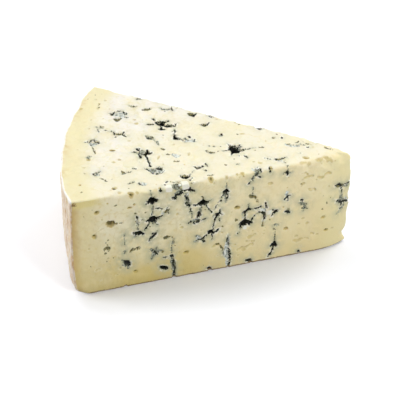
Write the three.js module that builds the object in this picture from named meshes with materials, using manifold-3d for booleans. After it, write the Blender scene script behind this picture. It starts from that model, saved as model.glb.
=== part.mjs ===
// A wedge of blue cheese, cut from a wheel that was first halved flat. One solid.
// The flat base and the curved side carry the rind. The top, the front and the back are cut paste.
// Millimetres, +Z up. The wedge rests on its base at Z = 0 with its thin end, the nose, towards +X
// and its rind towards -X. The origin is the middle of the base's bounding box.
import * as THREE from "three";
import { mergeVertices } from "three/addons/utils/BufferGeometryUtils.js";
import Module from "manifold-3d";

// ---- Driving dimensions ----
const WHEEL_RADIUS = 110; // from the wheel's axis to the rind at the top rim
const SECTOR_ANGLE = THREE.MathUtils.degToRad(41.8); // between the two cuts
const HEIGHT = 41.5;
const AXIS_X = 57.08; // where the wheel's axis stands in the part's frame
const AXIS_Y = 0.04;

const RIND_BULGE = 0.9; // how far the rind swells out between the rims
const BASE_ROUND = 4.2; // radius of the rind's lower rim
const EDGE_ROUND = 0.7; // softening of the knife-cut edges
const CORNER_CRUSH = 0.5; // how far the back corner of the rind is pressed in
const CORNER_REACH = 0.045; // radians of rind that the crushed corner takes up
const RIND_CREASE = 0.35; // depth of the rind's long folds
const PASTE_RELIEF = 0.25; // unevenness of the cut faces

const NOSE_FRONT = 6.6; // where the front cut ends, measured from the wheel's axis
const NOSE_BACK = 3.3; // where the back cut ends
// How far the nose is broken back, from its foot up: rows of height and depth.
const NOSE_BREAKS = [
  [0, 4],
  [0.45, 2.8],
  [1.15, 1.8],
  [2.3, 2.8],
  [4.2, 4.2],
  [6.3, 2.3],
  [8.4, 1.5],
  [12, 1.5],
  [16.5, 0.8],
  [21, 0.5],
  [26, 0],
];
const NOSE_SOFT = 2; // extra rounding of the top edge at the nose
const NOSE_SOFT_FROM = 32; // distance from the wheel's axis at which that rounding starts

// ---- Mesh density ----
const FRONT_STEPS = 24;
const NOSE_STEPS = 2;
const BACK_STEPS = 18;
const RIND_STEPS = 22;
const SIDE_LEVELS = [0, 0.12, 0.45, 1.15, 2.3, 4.2, 6.3, 8.4, 12, 16.5, 21, 26, 31, 36];
const EDGE_LEVELS = [1, 0.3, 0]; // heights below the top, in shares of the top edge's rounding
const TOP_RINGS = [0.96, 0.85, 0.7, 0.53, 0.35, 0.17];
const BASE_RINGS = [0.3, 0.85];

// ---- Mould pockets and eyes ----
// Each row: position on its face, how far the arms reach, number of arms, turn in degrees, and depth.
// On the front and back cuts a position is the distance from the rind corner and the height.
// On the top it is X and Y from the wheel's axis.
const FRONT_POCKETS = [
  [30, 36.5, 2.7, 5, 0, 2.6],
  [30, 28.5, 3.5, 6, 10, 3],
  [24.3, 23, 2.4, 5, 20, 2.2],
  [30, 20.8, 2.1, 4, 40, 1.8],
  [35, 31.2, 1.7, 5, 0, 1.2],
  [19.5, 10.8, 2.3, 6, 0, 1.6],
  [30, 13.2, 2.7, 6, 25, 1.5],
  [33.8, 5.5, 2.2, 4, -8, 2],
  [12.5, 19, 1.8, 4, 50, 1.3],
  [38.5, 36.9, 2.2, 5, 0, 1.8],
  [42.6, 38.4, 2.8, 5, 30, 2.4],
  [43.2, 33.2, 2.2, 4, 70, 2],
  [45, 28, 1.6, 4, 80, 1.4],
  [48.5, 31.8, 2.8, 6, 15, 2.6],
  [46.5, 24.1, 2.6, 5, 0, 1.3],
  [54.4, 25.2, 2.3, 5, 60, 2],
  [52.8, 17.8, 2.6, 5, 20, 2.2],
  [47.4, 16, 2.4, 5, 35, 1.3],
  [58, 34.4, 2.1, 5, 90, 2],
  [51.5, 1.8, 1.4, 5, 0, 1.1],
  [65.8, 25, 2, 4, 0, 1.8],
  [65, 18.9, 3.2, 5, 15, 2.8],
  [68, 30.5, 1.8, 4, 20, 1.3],
  [73.2, 22.4, 3.4, 6, 0, 1.6],
  [69.3, 39.2, 2.4, 4, 60, 2],
  [67, 2, 1.6, 5, 0, 1.1],
  [77, 6.4, 2, 5, 70, 1.7],
  [81.5, 38.5, 1.9, 6, 0, 1.7],
  [81.4, 27.5, 1.9, 5, 30, 1.4],
  [88.2, 23.6, 2, 5, 60, 1.3],
  [101.6, 28, 1.9, 6, 0, 1.7],
  [101.4, 20.4, 2, 6, 20, 1.4],
];
const TOP_POCKETS = [
  [-91.5, 20.3, 3.2, 6, 10, 1.5],
  [-86.3, 26.5, 1.8, 4, 0, 1.2],
  [-81, 24.5, 1.7, 5, 0, 1.2],
  [-63.5, 22, 2.2, 5, 0, 1.5],
  [-75.4, 15.2, 3.6, 6, 0, 2.2],
  [-58.5, 15, 1.9, 5, 0, 1.3],
  [-98, 10.8, 1.8, 5, 20, 1.2],
  [-90.5, 7, 2.4, 5, 0, 1.4],
  [-98.7, 0.8, 2.6, 6, 0, 1.4],
  [-78.5, 5.8, 1.9, 5, 0, 1.4],
  [-69, 6.2, 1.8, 5, 60, 1.6],
  [-63.8, 4.7, 2.2, 5, 0, 1.1],
  [-80.3, -4.8, 2.8, 6, 0, 1.8],
  [-75, -15.8, 2.8, 6, 20, 1.4],
  [-96.4, -20, 1.7, 5, 40, 1.2],
  [-58.3, -13, 2.3, 5, 0, 1.6],
  [-63.7, -18.8, 2.2, 6, 0, 2.2],
  [-55.5, -3, 1.7, 5, 0, 1.2],
  [-46.7, -0.6, 3.4, 7, 10, 3],
  [-29.5, -5.5, 1.9, 5, 0, 1.4],
  [-21.8, 5, 2.4, 6, 0, 1.3],
];
// Round or nearly round gas holes: position on the face, radius, and width against height.
const FRONT_EYES = [
  [14, 30, 1.25, 1.1],
  [9, 36, 1, 1.1],
  [7.8, 25.7, 0.95, 1],
  [23, 6.3, 0.85, 1.1],
  [62.2, 27, 1.15, 1.1],
  [42.5, 10.8, 1.1, 1.2],
  [55, 10.6, 1.5, 1.3],
  [52.5, 40.9, 1.2, 1.1],
  [63.8, 40.9, 0.9, 1.3],
  [91, 29.3, 1.1, 1.4],
  [89.5, 34.4, 1.3, 1.9],
  [96.6, 34.9, 1.3, 1.9],
  [96.2, 15.3, 1, 1.2],
  [81.3, 13.2, 0.8, 1.1],
];
const TOP_EYES = [
  [-88.5, -29, 1.1, 1.1],
  [-82.5, -31, 1.2, 1.1],
  [-91.5, -3.5, 1.1, 1.2],
  [-20.3, -4.2, 1.1, 1.4],
  [-12.6, -2, 1.6, 1.4],
];
// The knots of mould that open the edge between the top and the front: distance from the rind corner,
// and how far each reaches.
const EDGE_BREAKS = [
  [37.3, 2],
  [43.2, 2.6],
  [69.8, 1.9],
];
// The channels that the piercing needles left on the front: distance from the rind corner, foot, head
// and half width.
const NEEDLE_CHANNELS = [
  [37.6, 0.9, 12, 0.7],
  [58.6, 0.9, 15.5, 1],
];
const BACK_POCKET_COUNT = 14;
const BACK_MARGIN = 16; // paste near the rind and the nose that the back's mould stays out of
const PROUD = 0.6; // how far a pocket's cutter stands out of the face, to clear the face's relief
const SEED = 11;

const HALF = SECTOR_ANGLE / 2;
const CUT_TOLERANCE = 1e-3; // radians within which a point counts as lying on a cut
const CENTRE = new THREE.Vector3(-71, 0, 0); // the rings of the top and the base close in on this point

// A seeded generator of numbers from 0 to 1.
function seeded(seed) {
  let state = seed;
  return () => {
    state = (state * 1664525 + 1013904223) % 4294967296;
    return state / 4294967296;
  };
}

const smooth = (t) => {
  const c = THREE.MathUtils.clamp(t, 0, 1);
  return c * c * (3 - 2 * c);
};

// Slow unevenness between -1 and 1, the same for the same point.
function uneven(x, y, z) {
  const a = Math.sin(0.31 * x + 1.7 * Math.sin(0.17 * y + 0.5) + 0.9);
  const b = Math.sin(0.27 * y + 1.3 * Math.sin(0.21 * z + 2.1) + 0.23 * x);
  const c = Math.sin(0.43 * z + 1.1 * Math.sin(0.19 * x + 0.7) + 2.3);
  return (a + b + c) / 3;
}

// The rind's distance from the wheel's axis, at an angle measured from the middle of the wedge
// and a height.
function rindRadius(angle, z) {
  const swell = RIND_BULGE * Math.sin(Math.PI * Math.min(1, z / HEIGHT));
  const low = Math.max(0, 1 - z / BASE_ROUND);
  const rim = BASE_ROUND * (1 - Math.sqrt(1 - low * low));
  const crush = CORNER_CRUSH * smooth((angle - HALF + CORNER_REACH) / CORNER_REACH);
  const fold = Math.sin(38 * angle + 1.2 * Math.sin(z / 7)) * Math.sin(17 * angle + 0.6);
  const folds = RIND_CREASE * fold * smooth(z / BASE_ROUND);
  return WHEEL_RADIUS + swell - rim - crush + folds;
}

// How far the nose is broken back at a height.
function noseBreak(z) {
  const above = NOSE_BREAKS.findIndex(([height]) => height >= z);
  if (above <= 0) {
    return above < 0 ? 0 : NOSE_BREAKS[0][1];
  }
  const [lowZ, low] = NOSE_BREAKS[above - 1];
  const [highZ, high] = NOSE_BREAKS[above];
  return THREE.MathUtils.mapLinear(z, lowZ, highZ, low, high);
}

// The rounding of the top edge at a point of the outline.
function edgeRound(p) {
  return EDGE_ROUND + NOSE_SOFT * smooth(1 - Math.hypot(p.x, p.y) / NOSE_SOFT_FROM);
}

// One level's outline, anticlockwise from above, from the front corner of the rind:
// front cut, nose, back cut and rind.
function outline(z) {
  const points = [];
  const along = (angle, distance) =>
    points.push(new THREE.Vector3(-distance * Math.cos(angle), distance * Math.sin(angle), z));
  const broken = noseBreak(z);
  const front = rindRadius(-HALF, z);
  const back = rindRadius(HALF, z);
  const noseFront = NOSE_FRONT + broken;
  const noseBack = NOSE_BACK + 0.7 * broken;
  for (let i = 0; i < FRONT_STEPS; i++) {
    along(-HALF, THREE.MathUtils.lerp(front, noseFront, i / FRONT_STEPS));
  }
  const a = new THREE.Vector3(-noseFront * Math.cos(HALF), -noseFront * Math.sin(HALF), z);
  const b = new THREE.Vector3(-noseBack * Math.cos(HALF), noseBack * Math.sin(HALF), z);
  for (let i = 0; i < NOSE_STEPS; i++) {
    points.push(a.clone().lerp(b, i / NOSE_STEPS));
  }
  for (let i = 0; i < BACK_STEPS; i++) {
    along(HALF, THREE.MathUtils.lerp(noseBack, back, i / BACK_STEPS));
  }
  for (let i = 0; i < RIND_STEPS; i++) {
    const angle = HALF - (SECTOR_ANGLE * i) / RIND_STEPS;
    along(angle, rindRadius(angle, z));
  }
  return points;
}

// A level's outline drawn in towards the middle of the face and set at a height.
function ring(points, scale, z) {
  return points.map((p) => new THREE.Vector3().lerpVectors(CENTRE, p, scale).setZ(z));
}

// A point of the top's outline, carried round the edge: a share below the top, and in from the side.
function roundedEdge(p, below) {
  const round = edgeRound(p);
  const inwards = CENTRE.clone().setZ(p.z).sub(p).setLength(round * (1 - Math.sqrt(1 - (1 - below) ** 2)));
  return p.clone().add(inwards).setZ(HEIGHT - round * below);
}

// The paste of the top is a little uneven.
function addTopRelief(p) {
  p.z += PASTE_RELIEF * uneven(p.x, p.y, p.z);
}

// So is the paste of the two cuts, between the rind's lower rim and the top edge.
function addCutRelief(p) {
  const side = Math.sign(p.y);
  const fromCut = Math.abs(Math.atan2(p.y, -p.x)) - HALF;
  if (Math.abs(fromCut) > CUT_TOLERANCE) {
    return;
  }
  const calm = smooth(p.z / BASE_ROUND) * smooth((HEIGHT - p.z) / 3);
  const push = PASTE_RELIEF * uneven(p.x, p.y, p.z) * calm;
  p.x += push * Math.sin(HALF);
  p.y += push * side * Math.cos(HALF);
}

// A closed body of rings, from the lowest to the highest, with a point that closes each end.
function stack(rings, low, high) {
  const count = rings[0].length;
  const vertices = [low, ...rings.flat(), high];
  const at = (level, i) => 1 + level * count + (i % count);
  const last = rings.length - 1;
  const triangles = [];
  for (let i = 0; i < count; i++) {
    triangles.push(0, at(0, i + 1), at(0, i));
    for (let level = 0; level < last; level++) {
      triangles.push(at(level, i), at(level, i + 1), at(level + 1, i));
      triangles.push(at(level, i + 1), at(level + 1, i + 1), at(level + 1, i));
    }
    triangles.push(at(last, i), at(last, i + 1), vertices.length - 1);
  }
  return new THREE.BufferGeometry().setFromPoints(vertices).setIndex(triangles);
}

// The whole wedge as one closed surface of rings, from the middle of the base, up the sides
// and in to the middle of the top.
function wedgeGeometry() {
  const base = BASE_RINGS.map((scale) => ring(outline(0), scale, 0));
  const sides = SIDE_LEVELS.map((z) => outline(z));
  const edges = EDGE_LEVELS.map((below) => outline(HEIGHT).map((p) => roundedEdge(p, below)));
  const tops = TOP_RINGS.map((scale) => ring(edges.at(-1), scale, HEIGHT));
  [...sides.slice(1), ...edges.slice(0, -1)].flat().forEach(addCutRelief);
  [edges.at(-1), ...tops].flat().forEach(addTopRelief);
  return stack([...base, ...sides, ...edges, ...tops], CENTRE.clone(), CENTRE.clone().setZ(HEIGHT));
}

// ---- Faces that the pockets open on ----
// Each gives the matrix that carries a pocket, modelled round Z with its mouth upwards,
// to a position on the face.
function basis(xAxis, yAxis, normal, origin) {
  return new THREE.Matrix4().makeBasis(xAxis, yAxis, normal).setPosition(origin);
}
const UP = new THREE.Vector3(0, 0, 1);
function cutFace(side) {
  const run = new THREE.Vector3(Math.cos(HALF), -side * Math.sin(HALF), 0);
  const normal = new THREE.Vector3(Math.sin(HALF), side * Math.cos(HALF), 0);
  return (u, v) => {
    const rind = new THREE.Vector3(-WHEEL_RADIUS * Math.cos(HALF), side * WHEEL_RADIUS * Math.sin(HALF), v);
    return basis(side < 0 ? run : run.clone().negate(), UP, normal, rind.addScaledVector(run, u));
  };
}
const onFront = cutFace(-1);
const onBack = cutFace(1);
const onTop = (u, v) =>
  basis(new THREE.Vector3(1, 0, 0), new THREE.Vector3(0, 1, 0), UP, new THREE.Vector3(u, v, HEIGHT));

// ---- Cutters ----
// A mould pocket: a ragged star with hollow sides, which narrows as it goes down. Every second arm
// tends to be a stub.
function pocketGeometry(reach, arms, turn, depth, random) {
  const star = [];
  const start = THREE.MathUtils.degToRad(turn);
  for (let i = 0; i < arms; i++) {
    const angle = start + (2 * Math.PI * (i + 0.5 * (random() - 0.5))) / arms;
    const tip = reach * (i % 2 ? 0.5 + 0.4 * random() : 0.8 + 0.35 * random());
    const waist = reach * (0.36 + 0.16 * random());
    star.push(new THREE.Vector2(tip, 0).rotateAround(new THREE.Vector2(), angle));
    star.push(new THREE.Vector2(waist, 0).rotateAround(new THREE.Vector2(), angle + Math.PI / arms));
  }
  const level = (scale, z) => star.map((p) => new THREE.Vector3(p.x * scale, p.y * scale, z));
  const rings = [level(0.55, -depth), level(1.1, PROUD)];
  return stack(rings, new THREE.Vector3(0, 0, -1.15 * depth), new THREE.Vector3(0, 0, PROUD));
}

// A gas hole: a shallow ball, wider than it is high.
function eyeGeometry(radius, wide) {
  return new THREE.IcosahedronGeometry(radius, 1).scale(wide, 0.9, 0.8);
}

// A needle's channel, cut open lengthways: a slot with pointed ends.
function channelGeometry(length, half) {
  const long = length / 2;
  const mouth = [
    [0, -long],
    [half, -0.55 * long],
    [0.8 * half, 0.2 * long],
    [0.25 * half, long],
    [-0.3 * half, 0.7 * long],
    [-half, -0.1 * long],
    [-0.8 * half, -0.7 * long],
  ];
  const level = (scale, z) =>
    mouth.map(([x, y]) => new THREE.Vector3(x * scale, y * (0.9 + 0.1 * scale), z));
  const rings = [level(0.4, -1.2), level(1.1, PROUD)];
  return stack(rings, new THREE.Vector3(0, 0, -1.3), new THREE.Vector3(0, 0, PROUD));
}

// A break in the edge between the top and the front: a crumbled, many-sided lump.
function breakGeometry(reach, random) {
  const ball = new THREE.IcosahedronGeometry(reach, 1);
  const lump = mergeVertices(bare(ball));
  const position = lump.getAttribute("position");
  const point = new THREE.Vector3();
  for (let i = 0; i < position.count; i++) {
    point.fromBufferAttribute(position, i).multiplyScalar(0.78 + 0.4 * random());
    position.setXYZ(i, point.x, 0.7 * point.y, 0.7 * point.z);
  }
  return lump;
}

// A geometry with nothing but its positions, so that shared vertices can be merged.
function bare(geometry) {
  const kept = geometry.clone();
  kept.deleteAttribute("normal");
  kept.deleteAttribute("uv");
  return kept;
}

const wasm = await Module();
wasm.setup();

function solidOf(geometry) {
  const merged = mergeVertices(bare(geometry), 1e-4);
  return new wasm.Manifold(
    new wasm.Mesh({
      numProp: 3,
      vertProperties: merged.getAttribute("position").array,
      triVerts: new Uint32Array(merged.index.array),
    }),
  );
}

function geometryOf(solid) {
  const { vertProperties, triVerts } = solid.getMesh();
  return new THREE.BufferGeometry()
    .setAttribute("position", new THREE.BufferAttribute(vertProperties, 3))
    .setIndex(new THREE.BufferAttribute(triVerts, 1));
}

// Everything that is cut out of the wedge.
function cutters() {
  const random = seeded(SEED);
  const made = [];
  const add = (geometry, matrix) => made.push(geometry.applyMatrix4(matrix));
  const pocketsOn = (face, rows) => {
    for (const [u, v, reach, arms, turn, depth] of rows) {
      add(pocketGeometry(reach, arms, turn, depth, random), face(u, v));
    }
  };
  const eyesOn = (face, rows) => {
    for (const [u, v, radius, wide] of rows) {
      add(eyeGeometry(radius, wide), face(u, v));
    }
  };
  pocketsOn(onFront, FRONT_POCKETS);
  pocketsOn(onTop, TOP_POCKETS);
  eyesOn(onFront, FRONT_EYES);
  eyesOn(onTop, TOP_EYES);
  for (const [u, foot, head, half] of NEEDLE_CHANNELS) {
    add(channelGeometry(head - foot, half), onFront(u, (foot + head) / 2));
  }
  for (const [u, reach] of EDGE_BREAKS) {
    add(breakGeometry(reach, random), onFront(u, HEIGHT));
  }
  // The back's pockets: spread along it in even steps, at heights drawn at random.
  const span = WHEEL_RADIUS - NOSE_BACK - 2 * BACK_MARGIN;
  for (let i = 0; i < BACK_POCKET_COUNT; i++) {
    const u = BACK_MARGIN + (span * (i + random())) / BACK_POCKET_COUNT;
    const v = 6 + (HEIGHT - 12) * random();
    const reach = 1.5 + 1.7 * random();
    add(pocketGeometry(reach, 5, 360 * random(), 0.75 * reach, random), onBack(u, v));
  }
  return made;
}

// The wedge without its hollows. A scrap that neighbouring pockets cut loose is dropped.
function cheeseGeometry() {
  const hollows = cutters().map(solidOf).reduce((all, one) => all.add(one));
  const bodies = solidOf(wedgeGeometry()).subtract(hollows).decompose();
  bodies.sort((a, b) => b.volume() - a.volume());
  return geometryOf(bodies[0]);
}

const paste = new THREE.MeshStandardMaterial({ color: "#efe3bd", roughness: 0.55, metalness: 0 });
const wedge = new THREE.Mesh(cheeseGeometry(), paste);
wedge.name = "cheese_wedge";
wedge.position.set(AXIS_X, AXIS_Y, 0);

const part = new THREE.Group();
part.add(wedge);
export default part;
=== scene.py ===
"""A wedge of blue cheese: paste with mould pockets, needle channels and gas holes, and a bloomy rind.

The shape is worked out in millimetres from the wheel's axis, with -X towards the rind, +Z up and the
front cut on the -Y side. It is a field that is negative inside the cheese. Hollows are carved out of
the field, a mesh is laid on its zero level, and the same hollows then colour the mesh.
"""

import bpy
import numpy as np
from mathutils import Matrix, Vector


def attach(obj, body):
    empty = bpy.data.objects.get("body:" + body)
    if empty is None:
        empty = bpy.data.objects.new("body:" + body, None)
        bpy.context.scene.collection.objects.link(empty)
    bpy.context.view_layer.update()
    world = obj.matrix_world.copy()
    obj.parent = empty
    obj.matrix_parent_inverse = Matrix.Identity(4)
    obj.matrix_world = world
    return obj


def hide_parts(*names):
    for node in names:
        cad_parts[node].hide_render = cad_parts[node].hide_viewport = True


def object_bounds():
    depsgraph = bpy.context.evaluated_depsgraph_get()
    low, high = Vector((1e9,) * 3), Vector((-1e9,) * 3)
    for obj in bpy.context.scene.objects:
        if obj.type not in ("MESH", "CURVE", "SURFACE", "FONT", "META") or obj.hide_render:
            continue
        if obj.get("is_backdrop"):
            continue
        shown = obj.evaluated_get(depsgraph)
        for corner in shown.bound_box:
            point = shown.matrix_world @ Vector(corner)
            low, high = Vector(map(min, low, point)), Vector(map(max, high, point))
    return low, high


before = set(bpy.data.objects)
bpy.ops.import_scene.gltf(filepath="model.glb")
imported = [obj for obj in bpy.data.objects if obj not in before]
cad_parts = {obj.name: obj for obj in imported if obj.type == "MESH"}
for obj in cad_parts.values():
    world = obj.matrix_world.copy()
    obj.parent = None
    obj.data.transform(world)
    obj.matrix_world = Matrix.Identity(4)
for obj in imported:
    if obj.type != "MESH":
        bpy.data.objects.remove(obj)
CAD_LOW, CAD_HIGH = (tuple(corner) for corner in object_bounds())

# ---- The wedge, in millimetres, as in the solid but for how deep the nose's breaks are ----
WHEEL_RADIUS = 110.0
HALF = np.radians(41.8) / 2
HEIGHT = 41.5
AXIS_X, AXIS_Y = 57.08, 0.04
RIND_BULGE = 0.9
BASE_ROUND = 4.2
CORNER_CRUSH, CORNER_REACH = 0.5, 0.045
RIND_CREASE = 0.35
PASTE_RELIEF = 0.25
# How far the nose is cut back at its front and back edges, and how far it is broken: height, depth.
NOSE_FRONT, NOSE_BACK = 6.6, 3.3
NOSE_BREAKS = (
    (0, 2.8),
    (0.6, 1.7),
    (1.3, 1.2),
    (2.9, 2.3),
    (4.5, 2.9),
    (6.0, 1.6),
    (7.1, 1.1),
    (10, 0.9),
    (14.6, 1.1),
    (18, 0.3),
    (23.6, 0.5),
    (26.6, 0),
)

# ---- What the solid doesn't have, in millimetres ----
# The base is lifted by this, which keeps its relief above the floor.
BASE_LIFT = 0.06
# How much slimmer the rind is below its top rim, halfway round. Towards the corners it is less.
RIND_TAPER = 0.9
# How far the top stands up at the front rind corner, how far from there that reaches, and over
# what length it fades.
CORNER_LIFT, LIFT_REACH, LIFT_FALL = 1.05, 34.0, 26.0

# ---- The grid and the mesh ----
GRID_STEP = 0.3
GRID_MARGIN = 1.5
# How near the surface the fine relief is worked out.
RELIEF_BAND = 1.3
# How far round a hollow the grid is carved, and the mesh is coloured.
CARVE_MARGIN, COLOUR_MARGIN = 0.8, 4.5
# Over what width the rim of a hollow is rounded.
CARVE_ROUND = 0.12
MOST_TRIANGLES = 190_000
SEED = 20

SIN, COS = np.sin(HALF), np.cos(HALF)

# ---- Mould ----
# A row is a stroke of mould: its kind, its depth, then points (u, v, half width).
# On the front and back cuts, u is the distance from the rind corner and v the height.
# On the top, u and v are X and Y from the wheel's axis.
DARK, GREY, PALE, OLIVE = "dark", "grey", "pale", "olive"
# An eye is a gas hole, its walls and floor darker, partly stain and partly painted shade, and a chip is a
# clean break in the paste, painted with shade inside and a pale highlight round its rim.
EYE, CHIP = "eye", "chip"
# A dark stroke whose half width reaches the first number is widened by the second.
WIDE_CORE, CORE_SWELL = 0.5, 1.18
# An olive stroke on the top has this share of its row's depth.
FLAT_OLIVE = 0.35
# A hole in the rows of eyes is an eye from this darkness up, and a chip below it.
EYE_FROM_DARKNESS = 0.55

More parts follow.
